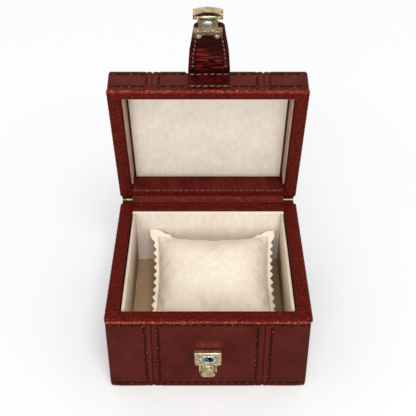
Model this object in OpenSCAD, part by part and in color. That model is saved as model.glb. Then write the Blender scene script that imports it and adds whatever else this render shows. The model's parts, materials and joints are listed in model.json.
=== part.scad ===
// Leather-covered display box for one watch, with a hinged lid, a strap closure and a pillow.
// Millimetres, Z up. The origin is the centre of the face that the box stands on; the front is -Y.
// The lid is drawn closed and then turned open about its hinge pin.

/* [Case] */
// Outer width over the leather
case_w = 110; // [96:1:140]
// Outer depth over the leather
case_d = 102; // [96:1:130]
// Height of the base, up to its leather rim
base_h = 52.5; // [48:0.5:70]
// Height of the lid, from its rim to its top
lid_h = 15; // [13:0.5:22]
// Thickness of the wooden walls
board_t = 6; // [5:0.5:7]
// Thickness of the leather
leather_t = 1; // [0.8:0.1:1.2]
// Thickness of the bottom board
bottom_t = 6; // [4:0.5:8]
// Thickness of the board in the lid's top
lid_top_t = 3; // [2.5:0.5:4]
// Space between the two rims with the lid closed
rim_gap = 0.44; // [0.3:0.02:0.8]
// Radius of the lid's top edges
lid_edge_r = 3; // [2:0.25:3.5]
// Distance of the panel grooves from the middle
groove_x = 30.7; // [26:0.1:34]
// Width of the grooves between the leather panels
groove_w = 0.4; // [0.3:0.05:0.8]

/* [Lining] */
// Thickness of the suede-covered boards in the base
lining_t = 2; // [1.5:0.1:3]
// Thickness of the lining in the lid
lid_lining_t = 1.2; // [0.8:0.1:1.6]
// Thickness of the leather-covered board along the lid's back
lid_back_t = 2.5; // [1.5:0.1:3]
// How far the lining stands below the rim
lining_drop = 1.2; // [0.8:0.1:3]
// Thickness of the padded floor
floor_t = 4.9; // [3:0.1:7]
// Thickness of the padded panel in the lid
lid_panel_t = 1.2; // [0.8:0.1:2]

/* [Hinge] */
// How far the lid stands open from closed, in degrees
lid_open = 72; // [60:1:90]
// Outer radius of the hinge barrel
barrel_r = 1.2; // [1:0.05:1.4]
// Radius of the hinge pin
pin_r = 0.6; // [0.45:0.05:0.7]
// Thickness of the hinge leaves
leaf_t = 0.7; // [0.5:0.05:0.8]
// Height of each leaf against its board
leaf_h = 9; // [7:0.5:9]
// Number of knuckles along the barrel
knuckles = 11; // [7:2:15]
// How far the pin stands behind the case
pin_out = 1.54; // [1.5:0.02:1.9]
// How far the pin stands above the base's rim
pin_up = 0.99; // [0.9:0.01:1.1]

/* [Strap] */
// Half width of the strap where it leaves the lid
strap_half = 11.3; // [9.6:0.1:14]
// Half width of the strap at its riveted end
strap_end_half = 8.3; // [7.9:0.1:9.5]
// Length of strap beyond the lid's front edge
strap_len = 33.6; // [33.6:0.1:34.2]
// Thickness of the two sewn layers of the strap
strap_t = 2.4; // [2:0.1:2.4]
// Length of the end that is sewn on the lid
anchor_len = 30; // [20:1:45]

/* [Clasp] */
// Distance of the stud beyond the lid's front edge
stud_u = 36.9; // [36.7:0.05:37]
// Width of the stud
stud_w = 5; // [4.5:0.1:5.2]
// Thickness of the stud
stud_d = 2.9; // [2.6:0.1:3.1]
// Half width of the hood
hood_half = 7.7; // [7.6:0.1:8.5]
// Crown of the hood's back
hood_crown = 1.9; // [1.2:0.1:2.2]
// Sheet thickness of the clasp
clasp_sheet = 0.8; // [0.6:0.05:0.9]

/* [Lock] */
// Width of the lock housing
lock_w = 14.6; // [14:0.1:16]
// How far the lock housing stands out of the leather
lock_out = 3.6; // [3.4:0.05:3.7]
// Height of the middle of the socket above the table
socket_z = 25.8; // [25.6:0.05:26]
// Height of the lock housing
housing_h = 10; // [9.8:0.1:10.4]
// Number of turns of the slide's spring
spring_turns = 5; // [4:1:7]

/* [Pillow] */
// Width of the pillow between its side seams
pillow_w = 69; // [56:1:72]
// Length of the pillow between its end seams
pillow_l = 60; // [50:1:62]
// How far the pillow leans, in degrees
pillow_tilt = 20.6; // [10:0.2:24]
// How far the pillow rises over its seam
pillow_crown = 18; // [12:0.5:20]
// How far the side seams are drawn in
pillow_pull = 2.6; // [1:0.1:4]
// How far the end seams are drawn in
pillow_end_pull = 4.6; // [1:0.1:5]
// Width of the pinked edge
pinked_w = 3.6; // [2.5:0.1:4]
// Distance between the teeth of the pinked edge
pinked_pitch = 4.9; // [4:0.1:6]
// How far the pillow lies off the middle
pillow_x = 2.8; // [-4:0.1:4]

/* [Hidden] */
$fn = 48;

// Small working clearances
fit = 0.3;
bore_gap = 0.05;
slack = 0.2;
cut = 1;

// Case
half_w = case_w / 2;
half_d = case_d / 2;
rim_t = leather_t;
wall_t = leather_t + board_t;
in_x = half_w - wall_t;
in_y = half_d - wall_t;
base_top = base_h - rim_t;
skin_low = 0.3;
bottom_z = leather_t;
floor_z = bottom_z + bottom_t + 0.1;
floor_top = floor_z + floor_t;
lining_top = base_h - lining_drop;
side_lining_t = lining_t + 0.2;
bead_r = 0.55;
bead_out = 0.2;
cover_in = 1.5;
rim_end_r = 1.5;
base_rim_back = half_d - 0.4;

// Lid, drawn closed
lid_z = base_h + rim_gap;
lid_core = lid_z + rim_t;
lid_top = lid_z + lid_h;
lid_board_top = lid_top - leather_t;
lid_board_low = lid_board_top - lid_top_t;
panel_low = lid_board_low - lid_panel_t;
lid_rim_back = half_d - 2.1;

// Hinge
pin_y = half_d + pin_out;
pin_z = base_h + pin_up;
barrel_half = half_w - 0.5;
knuckle_l = 2 * barrel_half / knuckles;
knuckle_gap = 0.3;
leaf_half = in_x - fit;
leaf_y = half_d - leather_t - leaf_t;
web_z = base_top + 0.1;
web_end = pin_y - barrel_r - 0.14;
lid_web_z = pin_z + 0.71;
leaf_low = base_top - leaf_h - 1;
screw_x = [-36, -12, 12, 36];
screw_r = 0.7;
screw_head_r = 1.3;
screw_l = 4.6;

// Strap, with u measured beyond the lid's front edge and h above the lid's top
fold_r = lid_edge_r;
fold_y = -half_d + fold_r - 0.4;
fold_z = lid_top - fold_r;
strap_low = fit;
rivet_x = 4.8;
rivet_u = 25.6;
rivet_r = 0.6;
rivet_head = 1.25;
band_u = [27, 32.2];
band_half = 7.5;
tongue_half = 5;
pivot_u = 39.6;
pivot_h = -0.5;
pivot_barrel = 1;
pivot_half = 5.2;
ring_w = 10.2;
ring_d = 6.4;
ring_low = -1.2;
stud_tip = -3.2;
hood_u = [38.4, 43.9];
hood_foot = -3.8;
hood_edge_h = 0.5;
arch_half = 6.6;
arch_rise = 2.6;
hasp_pin_r = 0.5;

// Lock, with its height measured from the table
front_y = -half_d;
housing_y = front_y - lock_out;
plate_y = housing_y + 0.4;
housing_top = socket_z + 5;
housing_low = housing_top - housing_h;
back_plate_t = 0.8;
cup_w = 9.1;
cup_d = 5.2;
shank_half = 3.1;
shank_low = socket_z - 11.3;
foot_low = socket_z - 14;
foot_w = 8;
foot_h = 3.6;
slide_y = front_y - 3.3;
prong_low = socket_z - 11.9;
hollow = [socket_z - 12.8, socket_z - 5.3];
ledge_z = socket_z - 11.2;
ledge_t = 0.6;
ledge_half = 1.9;
lock_rivet_r = 0.8;
lock_rivet_x = 5.3;
lock_rivet_z = socket_z - 1.8;
bar_h = 1.8;
bar_bend_r = 0.8;
plate_r = 1.5;
lock_wall = 0.8;
prong_in = 3.7;
prong_out = 5;

// Pillow
tilt = pillow_tilt;
pillow_back_gap = 1.8;
pillow_y = in_y - side_lining_t - pillow_back_gap - (pillow_l / 2 + pinked_w) * cos(tilt);
pillow_front_z = floor_top + 3.9;
pillow_z = pillow_front_z + pillow_l / 2 * sin(tilt);
pinked_t = 0.8;

function lid_turn(y, z) = [
    pin_y + (y - pin_y) * cos(lid_open) + (z - pin_z) * sin(lid_open),
    pin_z - (y - pin_y) * sin(lid_open) + (z - pin_z) * cos(lid_open)];

// A block between two corners
module block(low, high) {
    translate(low) cube(high - low);
}

// A bar along X between x0 and x1
module bar_x(x0, x1, r, y, z) {
    translate([x0, y, z]) rotate([0, 90, 0]) cylinder(r = r, h = x1 - x0);
}

// A rod along Y between y0 and y1
module bar_y(y0, y1, r, x, z) {
    translate([x, y1, z]) rotate([90, 0, 0]) cylinder(r = r, h = y1 - y0);
}

// A profile drawn in Y and Z, drawn out along X
module along_x(x0, x1) {
    translate([x0, 0, 0]) rotate([90, 0, 90]) linear_extrude(x1 - x0) children();
}

// A profile drawn in X and Z, drawn out along Y
module along_y(y0, y1) {
    translate([0, y1, 0]) rotate([90, 0, 0]) linear_extrude(y1 - y0) children();
}

// A rectangle whose two upper corners are round
module round_top(x0, x1, z0, z1, r) {
    translate([x0, z0]) square([x1 - x0, z1 - z0 - r]);
    translate([x0 + r, z0]) square([x1 - x0 - 2 * r, z1 - z0]);
    translate([x0 + r, z1 - r]) circle(r = r);
    translate([x1 - r, z1 - r]) circle(r = r);
}

// A flat oval with straight long sides
module oval(w, d) {
    square([w - d, d], center = true);
    translate([-(w - d) / 2, 0]) circle(d = d);
    translate([(w - d) / 2, 0]) circle(d = d);
}

// Turns what is drawn closed with the lid, about the hinge pin
module on_lid() {
    translate([0, pin_y, pin_z]) rotate([-lid_open, 0, 0]) translate([0, -pin_y, -pin_z])
        children();
}

// Base boards: front and back run through, sides between them, bottom inside
module base_bottom_board() {
    color("tan")
        block([-in_x, -in_y, bottom_z], [in_x, in_y, bottom_z + bottom_t]);
}

module base_front_board() {
    color("tan") difference() {
        block([-half_w + leather_t, -half_d + leather_t, bottom_z], [half_w - leather_t, -in_y, base_top]);
        lock_rivet_holes();
    }
}

module base_back_board() {
    color("tan") difference() {
        block([-half_w + leather_t, in_y, bottom_z], [half_w - leather_t, half_d - leather_t, base_top]);
        block([-leaf_half - slack, leaf_y, leaf_low - slack], [leaf_half + slack, half_d, base_top + cut]);
        for (x = screw_x) bar_y(leaf_y - screw_l - bore_gap, half_d, screw_r + bore_gap, x, leaf_low + leaf_h / 2);
    }
}

module base_side_board(side) {
    x = side < 0 ? -half_w + leather_t : in_x;
    block([x, -in_y, bottom_z], [x + board_t, in_y, base_top]);
}

module base_left_board() {
    color("tan") base_side_board(-1);
}

module base_right_board() {
    color("tan") base_side_board(1);
}

// Front leather in three panels, with the case's upright edges rounded
module front_leather(x0, x1, round_left, round_right) {
    r = leather_t;
    translate([0, 0, skin_low]) linear_extrude(base_top - skin_low) {
        translate([x0 + round_left * r, -half_d]) square([x1 - x0 - (round_left + round_right) * r, r]);
        if (round_left > 0) intersection() {
            translate([x0 + r, -half_d + r]) circle(r = r);
            translate([x0, -half_d]) square(r);
        }
        if (round_right > 0) intersection() {
            translate([x1 - r, -half_d + r]) circle(r = r);
            translate([x1 - r, -half_d]) square(r);
        }
    }
}

module front_leather_left() {
    color("maroon") front_leather(-half_w, -groove_x - groove_w / 2, 1, 0);
}

module front_leather_centre() {
    color("maroon") difference() {
        front_leather(-groove_x + groove_w / 2, groove_x - groove_w / 2, 0, 0);
        lock_rivet_holes();
    }
}

module front_leather_right() {
    color("maroon") front_leather(groove_x + groove_w / 2, half_w, 0, 1);
}

module side_leather_left() {
    color("maroon")
        block([-half_w, -half_d + leather_t, skin_low], [-half_w + leather_t, half_d - leather_t, base_top]);
}

module side_leather_right() {
    color("maroon")
        block([half_w - leather_t, -half_d + leather_t, skin_low], [half_w, half_d - leather_t, base_top]);
}

module back_leather() {
    color("maroon") rotate([0, 0, 180]) front_leather(-half_w, half_w, 1, 1);
}

module bottom_cover() {
    color("saddlebrown")
        block([-half_w + leather_t + cover_in, -half_d + leather_t, 0],
            [half_w - leather_t - cover_in, half_d - leather_t, bottom_z]);
}

// Leather binding on the rims: mitred in front, with a rolled front edge
module rim_front(z) {
    translate([0, 0, z]) linear_extrude(rim_t)
        polygon([[-half_w, -half_d], [half_w, -half_d], [in_x, -in_y], [-in_x, -in_y]]);
}

module rim_bead(z) {
    x = half_w - bead_out;
    intersection() {
        bar_x(-x, x, bead_r, -half_d + bead_r - bead_out, z + rim_t / 2);
        block([-x, -half_d - bead_out, z], [x, -half_d + bead_out, z + rim_t]);
    }
}

module rim_side(side, back, z) {
    r = rim_end_r;
    translate([0, 0, z]) mirror([side < 0 ? 1 : 0, 0, 0]) linear_extrude(rim_t) {
        polygon([[half_w, -half_d], [half_w, back - r], [in_x, back - r], [in_x, -in_y]]);
        translate([in_x + r, back - r]) circle(r = r);
        translate([half_w - r, back - r]) circle(r = r);
        translate([in_x + r, back - r]) square([board_t + leather_t - 2 * r, r]);
    }
}

module base_rim_front() {
    color("firebrick") {
        rim_front(base_top);
        rim_bead(base_top);
    }
}

module base_rim_left() {
    color("firebrick") rim_side(-1, base_rim_back, base_top);
}

module base_rim_right() {
    color("firebrick") rim_side(1, base_rim_back, base_top);
}

// Suede-covered boards that stand inside the walls
module lining_front() {
    color("linen")
        block([-in_x + fit, -in_y + fit, floor_z], [in_x - fit, -in_y + fit + lining_t, lining_top]);
}

module lining_back() {
    color("linen")
        block([-in_x + fit, in_y - fit - lining_t, floor_z], [in_x - fit, in_y - fit, lining_top]);
}

module lining_side(side) {
    x = side < 0 ? -in_x + fit : in_x - fit - side_lining_t;
    y = in_y - fit - lining_t;
    block([x, -y, floor_z], [x + side_lining_t, y, lining_top]);
}

module lining_left() {
    color("linen") lining_side(-1);
}

module lining_right() {
    color("linen") lining_side(1);
}

module floor_pad() {
    x = in_x - 2 * fit - side_lining_t;
    y = in_y - 2 * fit - lining_t;
    color("linen") block([-x, -y, floor_z], [x, y, floor_top]);
}

// Piano hinge: leaves let into the boards, carried over the leather to the barrel
module knuckle(i) {
    x = -barrel_half + i * knuckle_l;
    bar_x(x + knuckle_gap / 2, x + knuckle_l - knuckle_gap / 2, barrel_r, pin_y, pin_z);
}

module knuckle_strip(i) {
    x0 = max(-barrel_half + i * knuckle_l + knuckle_gap / 2, -leaf_half);
    x1 = min(-barrel_half + (i + 1) * knuckle_l - knuckle_gap / 2, leaf_half);
    along_x(x0, x1) children();
}

module hinge_base_leaf() {
    color("gold") difference() {
        union() {
            block([-leaf_half, leaf_y, leaf_low], [leaf_half, leaf_y + leaf_t, web_z]);
            block([-leaf_half, leaf_y, web_z], [leaf_half, web_end, web_z + leaf_t]);
            for (i = [0:2:knuckles - 1]) {
                knuckle(i);
                knuckle_strip(i) {
                    translate([web_end - cut, web_z]) square([cut + barrel_r, leaf_t]);
                    translate([pin_y - barrel_r, web_z]) square([leaf_t, pin_z - web_z]);
                }
            }
        }
        bar_x(-half_w, half_w, pin_r + bore_gap, pin_y, pin_z);
        for (x = screw_x) screw_hole(x, leaf_low + leaf_h / 2);
    }
}

module hinge_lid_leaf() {
    low = lid_core;
    color("gold") on_lid() difference() {
        union() {
            block([-leaf_half, leaf_y, low], [leaf_half, leaf_y + leaf_t, low + leaf_h]);
            block([-leaf_half, leaf_y, lid_web_z], [leaf_half, web_end, lid_web_z + leaf_t]);
            for (i = [1:2:knuckles - 2]) {
                knuckle(i);
                knuckle_strip(i) {
                    translate([web_end - cut, lid_web_z]) square([cut + barrel_r, leaf_t]);
                    translate([pin_y - barrel_r, pin_z]) square([leaf_t, lid_web_z + leaf_t - pin_z]);
                }
            }
        }
        bar_x(-half_w, half_w, pin_r + bore_gap, pin_y, pin_z);
        for (x = screw_x) screw_hole(x, low + leaf_h / 2 + 1);
    }
}

module screw_hole(x, z) {
    bar_y(leaf_y - cut, half_d, screw_r + bore_gap, x, z);
    translate([x, leaf_y + leaf_t, z]) rotate([90, 0, 0])
        cylinder(r1 = screw_head_r + bore_gap, r2 = screw_r + bore_gap, h = leaf_t * 0.8);
}

module screw(x, z) {
    bar_y(leaf_y - screw_l, leaf_y + leaf_t, screw_r, x, z);
    translate([x, leaf_y + leaf_t, z]) rotate([90, 0, 0])
        cylinder(r1 = screw_head_r, r2 = screw_r, h = leaf_t * 0.8);
}

module hinge_pin() {
    color("darkgoldenrod") bar_x(-barrel_half, barrel_half, pin_r, pin_y, pin_z);
}

module hinge_base_screws() {
    color("goldenrod") for (x = screw_x) screw(x, leaf_low + leaf_h / 2);
}

module hinge_lid_screws() {
    color("goldenrod") on_lid() for (x = screw_x) screw(x, lid_core + leaf_h / 2 + 1);
}

// The leather strip over the hinge: flat on the base's back edge, a roll, flat on the lid's edge
module hinge_gusset() {
    t = rim_t;
    bend_y = leaf_y - 1.3;
    lid_low = half_d - 2.6;
    lid_high = in_y - lid_back_t - fit;
    color("maroon") along_x(-in_x + slack, in_x - slack) polygon([
        [in_y, base_top], [bend_y + 0.35, base_top], [bend_y + 1.6, base_top + 1.4],
        [half_d - 0.6, base_top + 3.5], lid_turn(lid_low, lid_z + t - 0.05),
        lid_turn(lid_high, lid_z + t - 0.05), lid_turn(lid_high, lid_z), lid_turn(lid_low, lid_z),
        [half_d - 1.7, base_top + 3.9], [bend_y + 0.8, base_top + 2],
        [bend_y - 0.3, base_top + t], [in_y, base_top + t]]);
}

// Lid: rounded outside, square core
module lid_shape() {
    intersection() {
        along_x(-half_w, half_w) round_top(-half_d, half_d, lid_core, lid_top, lid_edge_r);
        along_y(-half_d, half_d) round_top(-half_w, half_w, lid_core, lid_top, lid_edge_r);
    }
}

module lid_core_block(extra) {
    block([-half_w + leather_t - extra, -half_d + leather_t, lid_core - cut],
        [half_w - leather_t + extra, half_d - leather_t, lid_board_top]);
}

module lid_leather(x0, x1) {
    intersection() {
        difference() {
            lid_shape();
            lid_core_block(cut);
            block([-leaf_half - slack, half_d - 2 * leather_t, lid_core - cut],
                [leaf_half + slack, half_d + cut, lid_web_z + leaf_t + 0.1]);
        }
        block([x0, -half_d, lid_z], [x1, half_d, lid_top]);
    }
}

module lid_leather_left() {
    color("maroon") on_lid() lid_leather(-half_w, -groove_x - groove_w / 2);
}

module lid_leather_centre() {
    color("maroon") on_lid() lid_leather(-groove_x + groove_w / 2, groove_x - groove_w / 2);
}

module lid_leather_right() {
    color("maroon") on_lid() lid_leather(groove_x + groove_w / 2, half_w);
}

module lid_side_leather(x0, x1) {
    intersection() {
        lid_shape();
        block([x0, -half_d + leather_t, lid_core], [x1, half_d - leather_t, lid_board_top]);
    }
}

module lid_side_leather_left() {
    color("maroon") on_lid() lid_side_leather(-half_w, -half_w + leather_t);
}

module lid_side_leather_right() {
    color("maroon") on_lid() lid_side_leather(half_w - leather_t, half_w);
}

module lid_top_board() {
    color("tan") on_lid() block([-half_w + leather_t, -half_d + leather_t, lid_board_low],
        [half_w - leather_t, half_d - leather_t, lid_board_top]);
}

module lid_front_board() {
    color("tan") on_lid() block([-half_w + leather_t, -half_d + leather_t, lid_core],
        [half_w - leather_t, -in_y, lid_board_low]);
}

module lid_back_board() {
    color("tan") on_lid() difference() {
        block([-half_w + leather_t, in_y, lid_core], [half_w - leather_t, half_d - leather_t, lid_board_low]);
        block([-leaf_half - slack, leaf_y, lid_core - cut], [leaf_half + slack, half_d, lid_board_low + cut]);
        for (x = screw_x)
            bar_y(leaf_y - screw_l - bore_gap, half_d, screw_r + bore_gap, x, lid_core + leaf_h / 2 + 1);
    }
}

module lid_side_board(side) {
    x = side < 0 ? -half_w + leather_t : in_x;
    block([x, -in_y, lid_core], [x + board_t, in_y, lid_board_low]);
}

module lid_left_board() {
    color("tan") on_lid() lid_side_board(-1);
}

module lid_right_board() {
    color("tan") on_lid() lid_side_board(1);
}

module lid_rim_front() {
    color("firebrick") on_lid() {
        rim_front(lid_z);
        rim_bead(lid_z);
    }
}

module lid_rim_left() {
    color("firebrick") on_lid() rim_side(-1, lid_rim_back, lid_z);
}

module lid_rim_right() {
    color("firebrick") on_lid() rim_side(1, lid_rim_back, lid_z);
}

module lid_panel() {
    x = in_x - 2 * fit - lid_lining_t;
    color("linen") on_lid() block([-x, -in_y + 2 * fit + lid_lining_t, panel_low],
        [x, in_y - 2 * fit - lid_back_t, lid_board_low]);
}

module lid_lining_front() {
    x = in_x - 2 * fit - lid_lining_t;
    color("linen") on_lid() block([-x, -in_y + fit, lid_z + lining_drop],
        [x, -in_y + fit + lid_lining_t, lid_board_low]);
}

module lid_lining_side(side) {
    x = side < 0 ? -in_x + fit : in_x - fit - lid_lining_t;
    block([x, -in_y + fit, lid_z + lining_drop],
        [x + lid_lining_t, in_y - 2 * fit - lid_back_t, lid_board_low]);
}

module lid_lining_left() {
    color("linen") on_lid() lid_lining_side(-1);
}

module lid_lining_right() {
    color("linen") on_lid() lid_lining_side(1);
}

module lid_back_lining() {
    color("maroon") on_lid() block([-in_x + fit, in_y - fit - lid_back_t, lid_core],
        [in_x - fit, in_y - fit, lid_board_low]);
}

// Strap: one end sewn on the lid, the rest free to fold over the front
module strap_anchor() {
    r = 4;
    y1 = fold_y + fit;
    color("maroon") on_lid() translate([0, 0, lid_top]) linear_extrude(strap_t) {
        translate([-strap_half, y1]) square([2 * strap_half, anchor_len - r]);
        translate([-strap_half + r, y1]) square([2 * (strap_half - r), anchor_len]);
        for (side = [-1, 1]) translate([side * (strap_half - r), y1 + anchor_len - r]) circle(r = r);
    }
}

// Places what is drawn with u along Y and h along Z at the lid's front edge
module on_strap() {
    on_lid() translate([0, -half_d, lid_top]) mirror([0, 1, 0]) children();
}

function arc(x, y, r, from, to, steps = 8) = [for (i = [0:steps])
    let (a = from + (to - from) * i / steps) [x + r * cos(a), y + r * sin(a)]];

module strap() {
    r = 5;
    x = strap_end_half - r;
    y = strap_len - r;
    color("maroon") on_strap() difference() {
        translate([0, 0, strap_low]) linear_extrude(strap_t - strap_low)
            polygon(concat([[strap_half, -half_d - fold_y], [strap_half - 0.9, 14]], arc(x, y, r, 0, 90),
                arc(-x, y, r, 90, 180), [[-strap_half + 0.9, 14], [-strap_half, -half_d - fold_y]]));
        for (side = [-1, 1]) translate([side * rivet_x, rivet_u, -cut])
            cylinder(r = rivet_r + bore_gap, h = strap_t + 2 * cut);
    }
}

// Plate riveted under the strap, with a raised band, a tongue and the hood's barrel
module hasp_plate() {
    low = strap_low - clasp_sheet;
    color("khaki") on_strap() difference() {
        union() {
            block([-band_half, band_u[0], low - 0.2], [band_half, band_u[1], strap_low]);
            for (side = [-1, 1]) {
                translate([side * rivet_x, rivet_u, strap_low - 0.4]) cylinder(r = 1.7, h = 0.4);
                block([side * (band_half - 0.25) - 0.25, rivet_u - 1, low - 0.2],
                    [side * (band_half - 0.25) + 0.25, band_u[0], strap_low]);
            }
            block([-tongue_half, band_u[1], strap_low - 0.7], [tongue_half, pivot_u, strap_low]);
            bar_x(-pivot_half, pivot_half, pivot_barrel, pivot_u, pivot_h);
            translate([0, stud_u, ring_low]) linear_extrude(strap_low - 0.5 - ring_low) difference() {
                oval(ring_w, ring_d);
                oval(ring_w - 2.2, ring_d - 2.2);
            }
        }
        bar_x(-half_w, half_w, hasp_pin_r + bore_gap, pivot_u, pivot_h);
        for (side = [-1, 1]) translate([side * rivet_x, rivet_u, -3])
            cylinder(r = rivet_r + bore_gap, h = 6);
        translate([0, 0, strap_low]) block([-band_half, rivet_u - 2, 0], [band_half, strap_len + fit, 3]);
    }
}

module hasp_rivets() {
    low = strap_low - 0.4;
    color("khaki") on_strap() for (side = [-1, 1]) translate([side * rivet_x, rivet_u, 0]) {
        translate([0, 0, low - 0.6]) cylinder(r1 = rivet_head - 0.35, r2 = rivet_head, h = 0.35);
        translate([0, 0, low - 0.25]) cylinder(r = rivet_head, h = 0.25);
        translate([0, 0, low - 0.1]) cylinder(r = rivet_r, h = strap_t - low + 0.2);
        translate([0, 0, strap_t]) cylinder(r1 = rivet_head, r2 = rivet_head - 0.4, h = 0.5);
    }
}

// The stud that presses into the lock's socket
module hasp_stud() {
    foot = strap_low - 0.7;
    color("silver") on_strap() translate([0, stud_u, 0]) {
        translate([0, 0, stud_tip + 0.4]) linear_extrude(foot - stud_tip - 0.4) oval(stud_w, stud_d);
        translate([0, 0, stud_tip]) linear_extrude(0.4) oval(stud_w - 0.7, stud_d - 0.7);
    }
}

module hasp_pin() {
    color("silver") on_strap() bar_x(-hood_half - 0.3, hood_half + 0.3, hasp_pin_r, pivot_u, pivot_h);
}

// Hood: a crowned back, two cheeks on the pin and a lip arched over the lock's slide
module hasp_hood() {
    back_r = (pow(hood_half, 2) + pow(hood_crown, 2)) / (2 * hood_crown);
    back_h = hood_edge_h + hood_crown - back_r;
    arch_r = (pow(arch_half, 2) + pow(arch_rise, 2)) / (2 * arch_rise);
    t = clasp_sheet;
    boss = 1.3;
    color("khaki") on_strap() difference() {
        intersection() {
            translate([0, 0, back_h]) rotate([-90, 0, 0]) cylinder(r = back_r, h = hood_u[1], $fn = 96);
            union() {
                block([-hood_half, hood_u[1] - t, hood_foot], [hood_half, hood_u[1], 4]);
                difference() {
                    block([-hood_half, hood_u[0], -1], [hood_half, hood_u[1], 4]);
                    translate([0, 0, back_h]) rotate([-90, 0, 0])
                        cylinder(r = back_r - t, h = hood_u[1] - t, $fn = 96);
                }
                for (side = [0, 1]) mirror([side, 0, 0]) {
                    bar_x(pivot_half + fit, hood_half, boss, pivot_u, pivot_h);
                    along_x(hood_half - t, hood_half) {
                        translate([pivot_u, pivot_h - boss]) square([hood_u[1] - pivot_u, 4]);
                        translate([pivot_u - boss, pivot_h]) square([boss + cut, 3]);
                    }
                }
            }
        }
        translate([0, 0, hood_foot + arch_rise - arch_r]) rotate([-90, 0, 0])
            cylinder(r = arch_r, h = hood_u[1] + cut, $fn = 96);
        bar_x(-half_w, half_w, hasp_pin_r + bore_gap, pivot_u, pivot_h);
    }
}

// Lock: a back plate and a folded housing with two prongs, riveted through the front board
module lock_rivet_holes() {
    for (side = [-1, 1])
        bar_y(housing_y, -in_y + cut, lock_rivet_r + bore_gap, side * lock_rivet_x, lock_rivet_z);
}

module lock_rivets() {
    y = front_y - back_plate_t;
    color("khaki") for (side = [-1, 1]) {
        bar_y(y, -in_y, lock_rivet_r, side * lock_rivet_x, lock_rivet_z);
        bar_y(y - 0.4, y, lock_rivet_r + 0.2, side * lock_rivet_x, lock_rivet_z);
    }
}

module lock_back_plate() {
    y = front_y - back_plate_t;
    color("khaki") difference() {
        union() {
            block([-lock_w / 2 + 0.3, y, housing_low + 0.2], [lock_w / 2 - 0.3, front_y, housing_top - bar_h]);
            block([-ledge_half, slide_y + 0.9, ledge_z], [ledge_half, y, ledge_z + ledge_t]);
            block([-ledge_half, y, ledge_z], [ledge_half, front_y, housing_low + cut]);
        }
        lock_rivet_holes();
    }
}

module lock_housing() {
    y = front_y - back_plate_t;
    low = housing_low;
    r = plate_r;
    bend = bar_bend_r;
    bar_low = housing_top - bar_h;
    color("khaki") difference() {
        union() {
            along_y(plate_y, y) {
                translate([-lock_w / 2, low + r]) square([lock_w, bar_low + bend - low - r]);
                translate([-lock_w / 2 + r, low]) square([lock_w - 2 * r, r + cut]);
                for (side = [-1, 1]) translate([side * (lock_w / 2 - r), low + r]) circle(r = r);
            }
            along_x(-lock_w / 2, lock_w / 2) {
                translate([housing_y, bar_low]) square([y - housing_y, bar_h - bend]);
                translate([housing_y + bend, bar_low]) square([y - housing_y - bend, bar_h]);
                translate([housing_y + bend, housing_top - bend]) circle(r = bend);
            }
            for (side = [-1, 1]) along_y(front_y - 2.6, front_y - 1.9) polygon([
                [side * prong_in, low + 0.5], [side * prong_out, low + 0.5],
                [side * prong_out, prong_low + 1.6], [side * (prong_out - 0.4), prong_low],
                [side * (prong_in + 0.2), prong_low + 1.2]]);
        }
        block([-lock_w / 2 + lock_wall, plate_y + lock_wall, low + lock_wall],
            [lock_w / 2 - lock_wall, y + cut, housing_top - lock_wall]);
        translate([0, 0, socket_z]) along_y(plate_y - cut, y) oval(cup_w - 1.9 + 2 * bore_gap, cup_d - 0.4);
        bar_y(housing_y, y, 0.45, -5, socket_z + 1.6);
        block([-ledge_half - slack, plate_y - cut, 0], [ledge_half + slack, y + cut, low + lock_wall + cut]);
    }
}

module lock_socket() {
    y = front_y - back_plate_t - 0.1;
    color("silver") translate([0, 0, socket_z]) difference() {
        union() {
            along_y(plate_y - 0.5, plate_y) oval(cup_w, cup_d);
            along_y(plate_y, y) oval(cup_w - 1.9, cup_d - 0.4 - 2 * bore_gap);
        }
        along_y(plate_y - cut, y - 0.5) oval(stud_w + 1.2, stud_d + 1.3);
    }
}

// Thumb slide: arms round the socket, a hollow shank with a raised pad, and a flared foot
module lock_slide() {
    y0 = slide_y;
    y1 = plate_y - 0.2;
    color("khaki") difference() {
        union() {
            translate([0, 0, socket_z]) along_y(y0 - 0.45, y1) difference() {
                oval(cup_w + 2.2, cup_d + 2.4);
                oval(cup_w + 0.4, cup_d + 0.4);
                translate([-cup_w, -0.9]) square([2 * cup_w, cup_d]);
            }
            block([-shank_half, y0 - 0.45, housing_low - 1], [shank_half, y1, housing_low + 2.3]);
            block([-shank_half, y0, shank_low], [shank_half, front_y - 1.1, housing_low - 0.4]);
            block([-2.2, y0 - 0.4, shank_low + 1.7], [2.2, y0, housing_low - 0.9]);
            block([-shank_half - 1.2, front_y - 1.6, shank_low], [shank_half + 1.2, front_y - 1.1, housing_low - 3]);
            translate([0, 0, foot_low]) along_y(y0 - 0.2, y0 + 1.2) {
                translate([0, foot_h / 2]) oval(foot_w, foot_h);
                translate([-shank_half, foot_h / 2]) square([2 * shank_half, shank_low - foot_low]);
            }
        }
        block([-2.1, y0 + 0.6, hollow[0]], [2.1, front_y, hollow[1]]);
    }
}

// Compression spring between the back plate's ledge and the top of the slide's hollow
function spring_ring(a, pitch, r, wire, sides) = [for (k = [0:sides - 1])
    let (b = 360 * k / sides, q = r + wire * cos(b))
    [q * cos(a), q * sin(a), pitch * a / 360 + wire * sin(b)]];

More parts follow.
